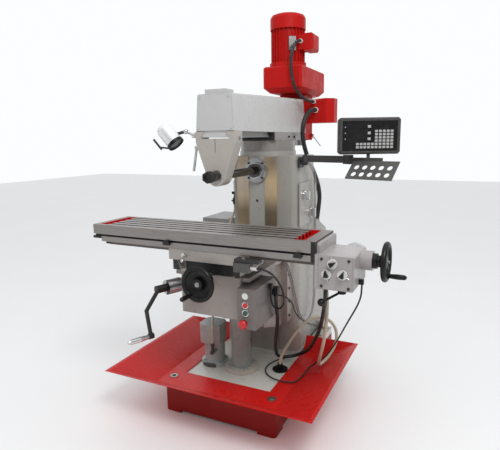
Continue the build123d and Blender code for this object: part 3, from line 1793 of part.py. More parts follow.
def speed_knob(y, z):
    """A selector knob on the column's side plate."""
    start = column_width / 2 + selector_plate + face_gap
    body = rod((start, y, z), (start + knob_height, y, z), knob_radius)
    half, reach = knob_grip_width / 2, knob_grip_length / 2
    grip_x = (start + knob_height - 2, start + knob_grip_height)
    grip = span(grip_x, (y - half, y + half), (z - reach, z + reach))
    return body + fillet(grip.edges().filter_by(Axis.X), knob_grip_corner)


def dro_bracket():
    x, y = arm_pivot_x, arm_pivot_y
    wall = column_width / 2
    plate_z = (arm_low - bracket_low, arm_height + bracket_high)
    body = span((wall, wall + bracket_plate), (y - bracket_half, y + bracket_half), plate_z)
    shelf_y = (y - bracket_shelf_half, y + bracket_shelf_half)
    body += span((wall, x + bracket_shelf), shelf_y, (arm_low - bracket_shelf, arm_low - face_gap))
    clip_y = (y + bracket_half, y + bracket_half + cable_clip_depth)
    clip_low = arm_height - cable_clip_drop
    body += span((wall, wall + cable_clip_width), clip_y, (clip_low, clip_low + cable_clip_height))
    return body + rod((x, y, arm_low - 1), (x, y, arm_high + bracket_pin_rise), arm_pin_radius)


def arm_point(distance, side=0):
    """A point above the readout's arm: out from its pivot and to its back."""
    angle = math.radians(arm_angle)
    dx, dy = math.cos(angle), math.sin(angle)
    return arm_pivot_x + dx * distance - dy * side, arm_pivot_y + dy * distance + dx * side


def arm_bar(start, end, low, high):
    half = arm_thickness / 2
    corners = [arm_point(start, -half), arm_point(end, -half), arm_point(end, half), arm_point(start, half)]
    return across_z(corners, low, high)


def arm_rod(distance, low, high, radius):
    place = arm_point(distance)
    return rod((*place, low), (*place, high), radius)


def dro_arm():
    body = arm_bar(0, arm_length - arm_hub_radius - arm_bar_end, arm_low, arm_high)
    body += arm_rod(0, arm_low, arm_high, arm_hub_radius)
    low, high = arm_low + fork_overlap - fork_thickness, arm_high - fork_overlap + fork_thickness
    for bottom, top in ((low, low + fork_thickness), (high - fork_thickness, high)):
        body += arm_bar(arm_length - arm_hub_radius - fork_start, arm_length, bottom, top)
        body += arm_rod(arm_length, bottom, top, arm_hub_radius)
    body += arm_rod(arm_length, low, high, arm_pin_radius)
    return body - arm_rod(0, arm_low, arm_high, arm_pin_radius + turn_gap)


def readout_plane(height):
    """The readout's own axes: X along its width, Y to its back, at its post."""
    yaw = math.radians(readout_yaw)
    centre = (*arm_point(arm_length + readout_place), height)
    return Plane(origin=centre, x_dir=(math.cos(yaw), math.sin(yaw), 0), z_dir=(0, 0, 1))


def dro_link():
    low, high = arm_low + fork_overlap + face_gap, arm_high - fork_overlap - face_gap
    body = arm_bar(arm_length, arm_length + link_length, low, high)
    body += arm_rod(arm_length, low, high, arm_hub_radius)
    body -= arm_rod(arm_length, low, high, arm_pin_radius + turn_gap)
    body += arm_rod(arm_length + readout_place, high - 4, arm_height + post_top, post_radius)
    return [body, tool_plate(low + 3) - body]


def tool_plate(top):
    """A sloping plate under the link with two rows of holes for tools."""
    slope = math.radians(tool_plate_tilt)
    drop, reach = tool_plate_depth * math.sin(slope), tool_plate_depth * math.cos(slope)
    start = arm_length + tool_plate_start
    end = start + tool_plate_width
    side = -4

    def edge(distance, part):
        return (*arm_point(distance, side - part * reach), top - part * drop)

    face = make_face(Polyline([edge(start, 0), edge(end, 0), edge(end, 1), edge(start, 1)], close=True))
    normal = face.face().normal_at()
    plate = extrude(face, amount=tool_plate_sheet, dir=normal)
    through = normal * 2 * tool_plate_sheet
    for row in (0.36, 0.74):
        for index in range(tool_hole_count):
            place = start + tool_plate_width * (index + 0.8) / (tool_hole_count + 0.6)
            centre = Vector(*edge(place, row))
            plate -= rod(tuple(centre - through), tuple(centre + through), tool_hole_radius)
    return plate


def dro_display():
    body = Box(readout_width, readout_depth, readout_height)
    body = chamfer(body.edges().filter_by(Axis.Y), readout_corner)
    body = chamfer(body.faces().sort_by(Axis.Y)[0].edges(), readout_edge)
    screen_width, screen_height = readout_width - 2 * readout_rim, readout_height - 2 * readout_rim
    body -= Pos(0, -readout_depth / 2, 0) * Box(screen_width, 2 * readout_recess, screen_height)
    socket = Cylinder(post_radius + turn_gap, post_socket)
    body -= Pos(0, 0, (post_socket - readout_height) / 2 - 0.2) * socket
    return readout_plane(arm_height + readout_height_above).location * body


def lamp_bracket_point():
    return (-support_width / 2 - lamp_boss_out, support_front + 16, ram_bottom - 15)


def lamp_ball_point():
    return tuple(Vector(*lamp_bracket_point()) + Vector(*lamp_ball_offset))


def lamp_arm():
    x, y, z = lamp_bracket_point()
    ball = lamp_ball_point()
    body = rod((x - face_gap, y, z), (x - lamp_hub_length, y, z), lamp_hub_radius)
    body += rod((x - 10, y, z), ball, lamp_rod_radius)
    return body + Pos(*ball) * Rot(0, 0, 90) * Sphere(lamp_ball_radius)


def lamp_head():
    ball = Vector(*lamp_ball_point())
    aim = Vector(*lamp_aim).normalized()
    centre = ball + Vector(*lamp_offset)
    back = centre - aim * (lamp_length / 2)
    axis = Plane(origin=tuple(back), z_dir=aim)
    radius, length = lamp_radius, lamp_length
    lens_radius = radius - 5
    shell = [
        (0, 0),
        (radius - 12, 0),
        (radius - 4, 7),
        (radius, 20),
        (radius, length - lamp_rim_length - 2),
        (radius + 2, length - lamp_rim_length),
        (radius + 2, length),
        (lens_radius, length),
        (lens_radius, length - lens_recess),
        (0, length - lens_recess),
    ]
    body = turned(shell, axis)
    out = Vector(*lamp_grip_way)
    grip = [tuple(back + aim * distance + out * lamp_grip_out) for distance in lamp_grip_ends]
    body += rod(*grip, lamp_grip_radius)
    arm_start = back + aim * lamp_grip_arm_at + out * lamp_grip_out
    arm_end = back + aim * (length - lamp_rim_length / 2) + out * (radius - 2)
    body += rod(tuple(arm_start), tuple(arm_end), lamp_grip_arm_radius)
    neck = rod(tuple(centre), tuple(ball), lamp_neck_radius)
    neck -= Pos(*ball) * Sphere(lamp_ball_radius + face_gap)
    lens_start = back + aim * (length - lens_recess)
    lens = rod(tuple(lens_start), tuple(lens_start + aim * lens_thickness), lens_radius - face_gap)
    return [body + neck, lens]


def coolant_pump():
    x, y, z = pump_x, pump_y, foot_top
    flange_top = z + pump_flange_height
    body = rod((x, y, z), (x, y, flange_top), pump_flange_radius)
    body += rod((x, y, flange_top - 2), (x, y, z + pump_motor_low + 2), pump_neck_radius)
    motor = Box(pump_motor_width, pump_motor_width, pump_motor_height)
    motor = chamfer(motor.edges().filter_by(Axis.Z), pump_motor_edge)
    body += Pos(x + pump_motor_shift, y, z + pump_motor_low + pump_motor_height / 2) * motor
    outlet_x, outlet_y, riser_top = pump_place
    outlet_z = z + pump_outlet_height
    corner = (outlet_x, outlet_y, outlet_z)
    outlet_end = (outlet_x, outlet_y - pump_outlet_radius, outlet_z)
    body += rod((outlet_x, y, outlet_z), outlet_end, pump_outlet_radius)
    body += rod(corner, pump_place, pump_riser_radius)
    clamp_radius = supply_hose_diameter / 2 + gland_wall
    body += rod((outlet_x, outlet_y, riser_top - pump_clamp_length), pump_place, clamp_radius)
    pieces = [body]
    for bolt_x, bolt_y in around(x, y, pump_bolt_circle):
        bolt = (bolt_x, bolt_y)
        pieces.append(rod((*bolt, flange_top), (*bolt, flange_top + pump_bolt_height), pump_bolt_radius))
    return pieces


def drain_strainer():
    place = (strainer_x, strainer_y)
    top = foot_top + strainer_height
    tube_top = foot_top + strainer_tube_top
    body = rod((*place, foot_top), (*place, top), strainer_radius)
    body += rod((*place, top - 1), (*place, tube_top), strainer_tube_radius)
    bore = return_hose_diameter / 2 + face_gap
    return body - rod((*place, foot_top + strainer_tube_floor), (*place, tube_top), bore)


def shifted(point):
    """The place of the second scale cable beside the first."""
    return tuple(a + b for a, b in zip(point, scale_cable_shift))


def cord(name, diameter, points):
    """A round cable through the points, each turn as wide as its runs allow."""
    vectors = [Vector(*point) for point in points]
    runs = [b - a for a, b in zip(vectors, vectors[1:])]
    radii = []
    for before, after in zip(runs, runs[1:]):
        half_turn = math.radians(before.get_angle(after)) / 2
        radii.append(0.45 * min(before.length, after.length) / math.tan(half_turn))
    path = FilletPolyline(*points, radius=radii)
    start = Plane(origin=points[0], z_dir=runs[0])
    solid = sweep(start * Circle(diameter / 2), path=path)
    section = math.pi * diameter ** 2 / 4
    fill = solid.volume / (section * path.length)
    print(name, "length", round(path.length), "fill", round(fill, 4), "radii", [round(r) for r in radii])
    return solid


# Routes of the cables and hoses between their glands, chosen by hand
motor_cable_route = [
    *leaving_gland(terminal_place, front_way, 34),
    (90, 354, 1878),
    (76, 336, 1826),
    (75, 330, 1764),
    (82, 330, 1702),
    (96, 336, 1646),
    (116, 362, 1600),
    (132, 408, 1578),
    (138, 460, 1571),
    *arriving(leaving_gland(motor_cable_place, front_way, 40)),
]
head_conduit_route = [
    *leaving_gland(head_conduit_place, front_way, 40),
    (147, 459, 1516),
    (139, 421, 1490),
    (131, 395, 1450),
    (127, 386, 1402),
    (128, 391, 1344),
    (141, 412, 1268),
    (168, 438, 1186),
    (196, 462, 1102),
    (207, 480, 1016),
    *arriving(leaving_gland(bay_place, bay_normal, 70)),
]
switch_cable_route = [
    *leaving(switch_place, right_way, 30),
    (322, -544, 806),
    (337, -514, 770),
    (342, -484, 730),
    (341, -456, 690),
    (332, -432, 652),
    (320, -417, 624),
    (301, -408, 606),
    (278, -402, 603),
    (259, -396, 617),
    *arriving(leaving(switch_elbow_place, down_way, 34)),
]
feed_conduit_route = [
    *leaving(feed_elbow_place, down_way, 56),
    (260, -330, 540),
    (244, -298, 474),
    (218, -252, 398),
    (190, -196, 318),
    (172, -138, 254),
    (166, -96, 216),
    (180, -44, 190),
    (228, -10, 192),
    (290, -12, 226),
    (336, -66, 286),
    (378, -136, 358),
    (424, -216, 442),
    (470, -314, 546),
    (502, -396, 638),
    *arriving(leaving_gland(gearbox_place, down_way, 74)),
]
knee_cable_route = [
    *leaving_gland(knee_cable_place, right_way, 24),
    (298, -316, 630),
    (304, -278, 602),
    (297, -218, 556),
    (280, -164, 514),
    (267, -78, 452),
    (258, 10, 396),
    (253, 100, 346),
    (250, 190, 302),
    (247, 274, 266),
    *arriving(leaving(bay_knee_place, front_way, 56)),
]
scale_cable_route = [
    *leaving_gland(scale_place, back_way, 26),
    (192, -226, 828),
    (226, -214, 800),
    (254, -204, 752),
    (267, -186, 686),
    (269, -152, 610),
    (265, -106, 536),
    (256, -50, 462),
    (248, 14, 402),
    (242, 88, 358),
    (239, 162, 337),
    (238, 228, 346),
    (238, 264, 396),
    (239, 276, 470),
    (238, 280, 556),
    (239, 280, 642),
    (240, 277, 728),
    (239, 275, 814),
    (238, 276, 900),
    (238, 280, 986),
    (239, 280, 1070),
    (240, 264, 1142),
    (240, 218, 1196),
    *arriving(leaving(clip_place, back_way, 40)),
]
feed_cable_route = [
    *leaving(feed_cable_place, down_way, 30),
    (667, -453, 718),
    (656, -445, 688),
    (640, -431, 655),
    (618, -410, 613),
    (585, -372, 549),
    (551, -325, 481),
    (515, -272, 415),
    (478, -216, 351),
    (438, -160, 290),
    (391, -116, 240),
    (362, -106, 210),
    (344, -120, 195),
    (336, -154, 185),
    (331, -196, 181),
    (324, -238, 178),
    (302, -262, 177),
    (262, -272, 178),
    (212, -262, 175),
    (158, -230, 171),
    (126, -182, 170),
    (118, -124, 169),
    (134, -64, 169),
    (170, -10, 169),
    (216, 34, 170),
    (233, 98, 171),
    (229, 172, 178),
    (231, 240, 199),
    (233, 306, 207),
    *arriving(leaving(bay_feed_place, front_way, 44)),
]
return_hose_route = [
    *leaving(out_from(drain_place, down_way, drain_length), down_way, 68),
    (480, -300, 716),
    (487, -298, 652),
    (485, -291, 588),
    (478, -277, 519),
    (464, -252, 440),
    (441, -216, 357),
    (415, -176, 279),
    (397, -132, 227),
    (398, -86, 213),
    (412, -40, 221),
    (429, 0, 246),
    (441, 32, 284),
    (443, 50, 326),
    (431, 54, 366),
    (406, 46, 401),
    (368, 30, 421),
    (328, 8, 421),
    (292, -18, 399),
    (262, -50, 362),
    (234, -84, 316),
    (210, -116, 266),
    *arriving(leaving((strainer_x, strainer_y, foot_top + strainer_tube_floor), up_way, 48)),
]
supply_hose_route = [
    *leaving(pump_place, up_way, 34),
    (-132, -271, 371),
    (-133, -266, 400),
    (-140, -250, 421),
    (-153, -226, 430),
    (-170, -196, 434),
    (-189, -166, 442),
    (-205, -136, 462),
    (-216, -104, 496),
    (-221, -70, 540),
    (-222, -36, 590),
    (-220, -2, 640),
    (-217, 32, 690),
    (-215, 58, 738),
    (-214, 72, 784),
    (-211, 77, 832),
    (-203, 84, 880),
    (-191, 96, 920),
    *arriving(leaving_gland(tap_place, down_way, 36)),
]
second_scale_route = [shifted(point) for point in scale_cable_route]

parts = {
    "machine_base": machine_base(),
    "chip_tray": chip_tray(),
    "foot_fasteners": foot_fasteners(),
    "column": column(),
    "motor_cover": motor_cover(),
    "spindle_bearing_set": spindle_bearing_set(),
    "spindle": spindle(),
    "drive_motor": drive_motor(),
    "motor_pulley": motor_pulley(),
    "arbor": arbor(),
    "turret": turret(),
    "ram": ram(),
    "arbor_support": arbor_support(),
    "vertical_head": vertical_head(),
    "head_motor": head_motor(),
    "quill": quill(),
    "vertical_spindle": vertical_spindle(),
    "quill_lever": quill_lever(),
    "knee": knee(),
    "pedestal": pedestal(),
    "control_box": control_box(),
    "start_button": push_button(0),
    "stop_button": push_button(1),
    "feed_button": push_button(2),
    "emergency_button": emergency_button(),
    "cross_wheel": cross_wheel(),
    "knee_crank": knee_crank(),
    "crank_handle": crank_handle(),
    "saddle": saddle(),
    "clamp_lever": clamp_lever(),
    "limit_switch": limit_switch(),
    "table": table(),
    "table_trim": table_trim(),
    "feed_gearbox": feed_gearbox(),
    "left_dial": feed_dial(0, -10, 165),
    "centre_dial": feed_dial(1, 60, -9),
    "right_dial": feed_dial(2, 20, 120),
    "feed_lever": feed_lever(),
    "table_wheel": table_wheel(),
    "cabinet": cabinet(),
    "cabinet_door": cabinet_door(),
    "upper_speed_knob": speed_knob(selector_front + upper_knob_back, selector_top - upper_knob_drop),
    "lower_speed_knob": speed_knob(selector_front + lower_knob_back, selector_bottom + lower_knob_rise),
    "dro_bracket": dro_bracket(),
    "dro_arm": dro_arm(),
    "dro_link": dro_link(),
    "dro_display": dro_display(),
    "lamp_arm": lamp_arm(),
    "lamp_head": lamp_head(),
    "coolant_pump": coolant_pump(),
    "drain_strainer": drain_strainer(),
    "motor_cable": cord("motor_cable", motor_cable_diameter, motor_cable_route),
    "head_conduit": cord("head_conduit", head_conduit_diameter, head_conduit_route),
    "switch_cable": cord("switch_cable", switch_cable_diameter, switch_cable_route),
    "feed_conduit": cord("feed_conduit", feed_conduit_diameter, feed_conduit_route),
    "knee_cable": cord("knee_cable", knee_cable_diameter, knee_cable_route),
    "scale_cables": [
        cord("first scale cable", scale_cable_diameter, scale_cable_route),
        cord("second scale cable", scale_cable_diameter, second_scale_route),
    ],
    "feed_cable": cord("feed_cable", feed_cable_diameter, feed_cable_route),
    "return_hose": cord("return_hose", return_hose_diameter, return_hose_route),
    "supply_hose": cord("supply_hose", supply_hose_diameter, supply_hose_route),
}

os.makedirs("parts", exist_ok=True)
for name, shape in parts.items():
    solids = shape if isinstance(shape, list) else [shape]
    export_step(Compound(children=solids), f"parts/{name}.step")
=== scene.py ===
import math

import bmesh
import bpy
from mathutils import Matrix, Vector


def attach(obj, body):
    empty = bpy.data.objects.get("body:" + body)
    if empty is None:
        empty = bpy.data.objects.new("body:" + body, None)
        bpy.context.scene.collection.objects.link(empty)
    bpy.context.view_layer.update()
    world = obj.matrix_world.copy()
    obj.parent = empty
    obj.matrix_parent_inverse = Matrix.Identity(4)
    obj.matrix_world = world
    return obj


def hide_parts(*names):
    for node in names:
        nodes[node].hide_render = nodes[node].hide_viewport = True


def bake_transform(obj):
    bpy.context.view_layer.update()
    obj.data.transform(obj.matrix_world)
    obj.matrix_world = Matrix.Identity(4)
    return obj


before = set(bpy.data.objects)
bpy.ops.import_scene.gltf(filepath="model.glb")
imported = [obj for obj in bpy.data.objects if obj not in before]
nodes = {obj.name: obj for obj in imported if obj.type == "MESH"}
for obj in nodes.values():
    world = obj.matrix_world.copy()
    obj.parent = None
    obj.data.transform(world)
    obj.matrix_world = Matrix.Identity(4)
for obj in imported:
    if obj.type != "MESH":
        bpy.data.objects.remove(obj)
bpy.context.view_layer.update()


# Camera at the photograph's angle

camera_place = Vector((1.0474, -2.2492, 1.3433))
camera_azimuth = math.radians(25.7117)
camera_pitch = math.radians(10.1768)
camera_roll = math.radians(-0.8606)
camera_lens = 33.62
camera_sensor = 36

ahead = Vector((-math.sin(camera_azimuth), math.cos(camera_azimuth), 0))
look_way = ahead * math.cos(camera_pitch) - Vector((0, 0, 1)) * math.sin(camera_pitch)
camera = bpy.data.objects.new("camera", bpy.data.cameras.new("camera"))
bpy.context.scene.collection.objects.link(camera)
camera.data.lens = camera_lens
camera.data.sensor_width = camera_sensor
turn = look_way.to_track_quat("-Z", "Y").to_matrix().to_4x4()
camera.matrix_world = Matrix.Translation(camera_place) @ turn @ Matrix.Rotation(camera_roll, 4, "Z")
bpy.context.scene.camera = camera


# Materials

bevel_samples = 4
edge_starts = 0.995
edge_full = 0.85


class Look:
    """One material, its nodes added step by step. Places are in the object's own frame, in metres."""

    def __init__(self, name, rough=0.4, metal=0.0):
        self.material = bpy.data.materials.new(name)
        self.material.use_nodes = True
        self.tree = self.material.node_tree
        self.shader = self.tree.nodes["Principled BSDF"]
        self.shader.inputs["Roughness"].default_value = rough
        self.shader.inputs["Metallic"].default_value = metal
        self.place = self.node("ShaderNodeTexCoord").outputs["Object"]

    def node(self, kind, sockets=None, **settings):
        made = self.tree.nodes.new(kind)
        for name, value in settings.items():
            setattr(made, name, value)
        for name, value in (sockets or {}).items():
            self.put(made.inputs[name], value)
        return made

    def put(self, socket, value):
        if isinstance(value, bpy.types.NodeSocket):
            self.tree.links.new(value, socket)
        elif isinstance(value, tuple) and socket.type == "RGBA":
            socket.default_value = (*value[:3], 1)
        else:
            socket.default_value = value

    def noise(self, scale, detail=3, stretch=(1, 1, 1)):
        moved = self.node("ShaderNodeMapping", {"Vector": self.place, "Scale": stretch})
        sockets = {"Vector": moved.outputs["Vector"], "Scale": scale, "Detail": detail}
        return self.node("ShaderNodeTexNoise", sockets).outputs["Fac"]

    def remap(self, value, low, high, start=0.0, end=1.0):
        sockets = {"Value": value, "From Min": low, "From Max": high, "To Min": start, "To Max": end}
        return self.node("ShaderNodeMapRange", sockets).outputs["Result"]

    def mix(self, amount, first, second):
        made = self.node("ShaderNodeMix", data_type="RGBA")
        self.put(made.inputs[0], amount)
        self.put(made.inputs[6], first)
        self.put(made.inputs[7], second)
        return made.outputs[2]

    def sums(self, kind, first, second):
        made = self.node("ShaderNodeMath", operation=kind)
        self.put(made.inputs[0], first)
        self.put(made.inputs[1], second)
        return made.outputs[0]

    def axis(self, letter):
        return self.node("ShaderNodeSeparateXYZ", {"Vector": self.place}).outputs[letter]

    def within(self, value, low, high, soft=0.0005):
        """1 between low and high, 0 outside them."""
        rising = self.remap(value, low - soft, low + soft)
        return self.sums("MULTIPLY", rising, self.remap(value, high + soft, high - soft))

    def colour(self, value):
        self.put(self.shader.inputs["Base Color"], value)

    def rough(self, value):
        self.put(self.shader.inputs["Roughness"], value)

    def bump(self, height, strength, depth, round_edges=0.0):
        sockets = {"Height": height, "Strength": strength, "Distance": depth}
        if round_edges:
            rounded = self.node("ShaderNodeBevel", {"Radius": round_edges}, samples=bevel_samples)
            sockets["Normal"] = rounded.outputs["Normal"]
        made = self.node("ShaderNodeBump", sockets)
        self.put(self.shader.inputs["Normal"], made.outputs["Normal"])

    def edges(self, radius):
        """1 near sharp edges, 0 on flat faces."""
        rounded = self.node("ShaderNodeBevel", {"Radius": radius}, samples=bevel_samples).outputs["Normal"]
        plain = self.node("ShaderNodeNewGeometry").outputs["Normal"]
        made = self.node("ShaderNodeVectorMath", operation="DOT_PRODUCT")
        self.put(made.inputs[0], rounded)
        self.put(made.inputs[1], plain)
        return self.remap(made.outputs["Value"], edge_starts, edge_full)


def shade(colour, amount):
    return tuple(min(1.0, part * amount) for part in colour)


rub_radius = 0.0016
peel_scale = 420
peel_depth = 0.0006
paint_rounding = 0.0022
coat_rough = 0.14


def enamel(name, colour, rough=0.3, peel=0.05, wear=(0.62, 0.60, 0.57), worn=0.35, gloss=0.5, coat=0.15):
    """Glossy machine paint: slow tone changes, orange peel and edges rubbed pale in places."""
    look = Look(name, rough)
    look.shader.inputs["Specular IOR Level"].default_value = gloss
    tone = look.mix(look.noise(3.2), shade(colour, 0.9), shade(colour, 1.08))
    stain = look.remap(look.noise(11, 3), 0.6, 0.8, 0, 0.06)
    tone = look.mix(stain, tone, shade(colour, 0.72))
    places = look.remap(look.noise(45, 4), 0.5, 0.68, 0, worn)
    rubbed = look.sums("MULTIPLY", look.edges(rub_radius), places)
    look.colour(look.mix(rubbed, tone, wear))
    look.rough(look.remap(look.noise(18, 4), 0.3, 0.75, rough - 0.07, rough + 0.14))
    look.bump(look.noise(peel_scale, 2), peel, peel_depth, paint_rounding)
    look.shader.inputs["Coat Weight"].default_value = coat
    look.shader.inputs["Coat Roughness"].default_value = coat_rough
    return look


def steel(name, colour, rough=0.3, grain=(1, 1, 1), scale=220, scratch=0.08):
    """Bare metal with a fine grain: grain squeezes the noise along each axis."""
    look = Look(name, rough, 1.0)
    lines = look.noise(scale, 5, grain)
    look.colour(look.mix(look.noise(14, 4), shade(colour, 0.8), shade(colour, 1.15)))
    look.rough(look.remap(lines, 0.25, 0.75, rough - 0.08, rough + 0.12))
    look.bump(lines, scratch, 0.0004, 0.001)
    return look


dust_tone = (0.4, 0.39, 0.37)


def moulded(name, colour, rough=0.35, grain=0.08, scale=900, gloss=0.5, dusty=0.16):
    """Plastic or rubber: an even colour with a fine moulded grain and slight dust."""
    look = Look(name, rough)
    look.shader.inputs["Specular IOR Level"].default_value = gloss
    dust = look.remap(look.noise(26, 5), 0.55, 0.8, 0, dusty)
    tone = look.mix(look.noise(8), shade(colour, 0.88), shade(colour, 1.1))
    look.colour(look.mix(dust, tone, dust_tone))
    look.rough(look.remap(look.noise(35), 0.3, 0.7, rough - 0.06, rough + 0.1))
    look.bump(look.noise(scale, 2), grain, 0.0003, 0.0006)
    return look


red_wear = (0.62, 0.2, 0.17)
dark_wear = (0.3, 0.3, 0.3)

grey_paint = enamel("grey_paint", (0.43, 0.395, 0.36))
pale_paint = enamel("pale_paint", (0.53, 0.53, 0.52))
# A darker copy of the grey enamel: painted shade on the knee under the table.
knee_paint_shaded = enamel("knee_paint_shaded", (0.32, 0.275, 0.25))
pedestal_paint = enamel("pedestal_paint", (0.30, 0.36, 0.34))
pump_paint = enamel("pump_paint", (0.42, 0.48, 0.465))
# A darker copy of the grey enamel: painted shade on the turret under the ram.
turret_paint_shaded = enamel("turret_paint_shaded", (0.27, 0.25, 0.235))
# A darker copy of the grey enamel: painted shade on the saddle under the table.
saddle_paint_shaded = enamel("saddle_paint_shaded", (0.37, 0.335, 0.305))
gear_paint = enamel("gear_paint", (0.36, 0.33, 0.33))
# A darker copy of the grey enamel: painted shade on the control box low on the machine.
box_paint_shaded = enamel("box_paint_shaded", (0.17, 0.148, 0.138), 0.42, gloss=0.35)
beige_paint = enamel("beige_paint", (0.50, 0.47, 0.41), 0.4)
red_paint = enamel("red_paint", (0.50, 0.010, 0.008), 0.42, 0.05, red_wear, gloss=0.14, coat=0.02)
tray_paint = enamel("tray_paint", (0.56, 0.010, 0.008), 0.3, 0.03, (0.7, 0.3, 0.25), gloss=0.25, coat=0.05)
# A darker copy of the red enamel: painted shade on the base's faces under the tray.
base_paint_shaded = enamel("base_paint_shaded", (0.25, 0.006, 0.004), 0.42, 0.05, red_wear, gloss=0.2, coat=0.0)
dark_paint = enamel("dark_paint", (0.03, 0.03, 0.031), 0.45, 0.05, dark_wear, 0.25, gloss=0.35)
arm_paint = enamel("arm_paint", (0.06, 0.058, 0.057), 0.48, 0.05, dark_wear, 0.25, gloss=0.35)
plate_paint = enamel("plate_paint", (0.085, 0.083, 0.08), 0.46, 0.05, dark_wear, 0.25, gloss=0.35)
cabinet_paint = enamel("cabinet_paint", (0.26, 0.26, 0.255), 0.42)
bright_steel = steel("bright_steel", (0.72, 0.72, 0.72), 0.16, scratch=0.03)
turned_steel = steel("turned_steel", (0.5, 0.5, 0.5), 0.28, (1, 6, 1))
black_steel = steel("black_steel", (0.055, 0.053, 0.052), 0.36)
bar_steel = steel("bar_steel", (0.115, 0.11, 0.105), 0.16, (1, 8, 1), scratch=0.02)
slot_iron = steel("slot_iron", (0.06, 0.057, 0.054), 0.55)
bolt_steel = steel("bolt_steel", (0.42, 0.41, 0.40), 0.34)
lamp_steel = steel("lamp_steel", (0.93, 0.94, 0.95), 0.2, scale=30, scratch=0.0)
lamp_steel.shader.inputs["Metallic"].default_value = 0.5
cast_iron = steel("cast_iron", (0.22, 0.22, 0.22), 0.5, scale=500, scratch=0.25)
black_plastic = moulded("black_plastic", (0.006, 0.006, 0.006), 0.34, 0.03, gloss=0.3, dusty=0.04)
screen_plastic = moulded("screen_plastic", (0.012, 0.012, 0.013), 0.22, 0.01, gloss=0.3, dusty=0.02)
key_plastic = moulded("key_plastic", (0.42, 0.42, 0.41), 0.4, 0.03)
white_plastic = moulded("white_plastic", (0.72, 0.71, 0.68), 0.3, 0.03)
red_plastic = moulded("red_plastic", (0.55, 0.02, 0.02), 0.25, 0.03)
green_plastic = moulded("green_plastic", (0.03, 0.075, 0.05), 0.3, 0.03)
case_plastic = moulded("case_plastic", (0.045, 0.043, 0.041), 0.5, 0.2, 700)
black_rubber = moulded("black_rubber", (0.014, 0.014, 0.014), 0.5, 0.12)
sheath_grey = moulded("sheath_grey", (0.30, 0.285, 0.275), 0.42, 0.1)
hose_beige = moulded("hose_beige", (0.56, 0.50, 0.38), 0.34, 0.06)


def ground_iron():
    """A ground table top: fine lines along the table, oil-darkened in places."""
    look = Look("ground_iron", 0.4, 0.75)
    lines = look.noise(60, 6, (0.35, 14, 14))
    patch = look.noise(7, 5, (0.6, 2, 2))
    tone = look.mix(patch, (0.22, 0.20, 0.185), (0.36, 0.335, 0.32))
    look.colour(look.mix(look.remap(lines, 0.35, 0.65, 0, 0.35), tone, (0.47, 0.45, 0.43)))
    look.rough(look.remap(patch, 0.3, 0.7, 0.34, 0.5))
    look.bump(lines, 0.12, 0.0004, 0.0012)
    return look


way_sides = (0.047, 0.122)
way_depths = (-0.1, 0.0495)
way_heights = (0.4, 1.262)
foot_heights = (0.0, 0.185)


def column_paint_shaded():
    """Grey enamel, with the scraped ways on the front as bare iron, browned by oil and darkened by painted
    shade near and below the table and towards the top of the ways.
    """
    # Its grey is a darker copy of the machine's grey enamel: painted shade on the column.
    look = enamel("column_paint_shaded", (0.375, 0.365, 0.335))
    painted = look.shader.inputs["Base Color"].links[0].from_socket
    polish = look.shader.inputs["Roughness"].links[0].from_socket
    side = look.sums("ABSOLUTE", look.axis("X"), 0.0)
    bare = look.sums("MULTIPLY", look.within(side, *way_sides), look.within(look.axis("Y"), *way_depths))
    bare = look.sums("MULTIPLY", bare, look.within(look.axis("Z"), *way_heights))
    rows = look.noise(30, 5, (1, 1, 0.12))
    oil = look.remap(look.noise(3.5, 4, (1.5, 1, 0.7)), 0.38, 0.62)
    iron = look.mix(oil, (0.62, 0.52, 0.42), (0.84, 0.60, 0.30))
    iron = look.mix(look.remap(rows, 0.4, 0.7, 0, 0.35), iron, (0.88, 0.76, 0.58))
    # Painted shade on the bare ways: full below the table top, fading out above it, and growing towards the
    # top of the ways.
    height = look.axis("Z")
    low_painted_shade = look.remap(height, 1.06, 0.97, 0, 0.7)
    high_painted_shade = look.remap(height, 1.14, 1.24, 0, 0.45)
    iron = look.mix(look.sums("MAXIMUM", low_painted_shade, high_painted_shade), iron, (0.13, 0.11, 0.095))
    foot = look.within(look.axis("Z"), *foot_heights)
    painted = look.mix(foot, painted, (0.60, 0.59, 0.54))
    look.colour(look.mix(bare, painted, iron))
    look.rough(look.mix(bare, polish, look.remap(rows, 0.3, 0.7, 0.3, 0.48)))
    look.put(look.shader.inputs["Metallic"], look.sums("MULTIPLY", bare, 0.85))
    look.put(look.shader.inputs["Coat Weight"], look.remap(bare, 0, 1, 0.15, 0))
    return look


def lamp_glass():
    """The lamp's lens: dark glass with a faint texture."""
    look = Look("lamp_glass", 0.12)
    rings = look.noise(90, 2)
    look.colour(look.mix(rings, (0.10, 0.10, 0.105), (0.22, 0.22, 0.23)))
    look.bump(rings, 0.2, 0.0008)
    look.shader.inputs["Coat Weight"].default_value = 1.0
    return look


table_iron = ground_iron()
column_look = column_paint_shaded()
glass = lamp_glass()


# Materials on the CAD nodes: one for each node, and others on the faces that a test picks

def dress(node, look, *others):
    """others are (look, test) pairs; a test takes a face's middle in millimetres and its normal."""
    mesh = nodes[node].data
    mesh.materials.clear()
    mesh.materials.append(look.material)
    for index, (other, test) in enumerate(others):
        mesh.materials.append(other.material)
        for face in mesh.polygons:
            if test(face.center * 1000, face.normal):
                face.material_index = index + 1


def off_axis(middle, place, way):
    """How far a point lies from a line."""
    apart = middle - Vector(place)
    return (apart - Vector(way) * apart.dot(Vector(way))).length


def under(axis, high):
    """A test for faces below a place on an axis."""
    return lambda middle, normal: getattr(middle, axis) < high


def over(axis, low):
    """A test for faces above a place on an axis."""
    return lambda middle, normal: getattr(middle, axis) > low


def between(axis, low, high):
    """A test for faces between two places on an axis."""
    return lambda middle, normal: low < getattr(middle, axis) < high


def near(place, reach):
    """A test for faces around one place."""
    return lambda middle, normal: (middle - Vector(place)).length < reach


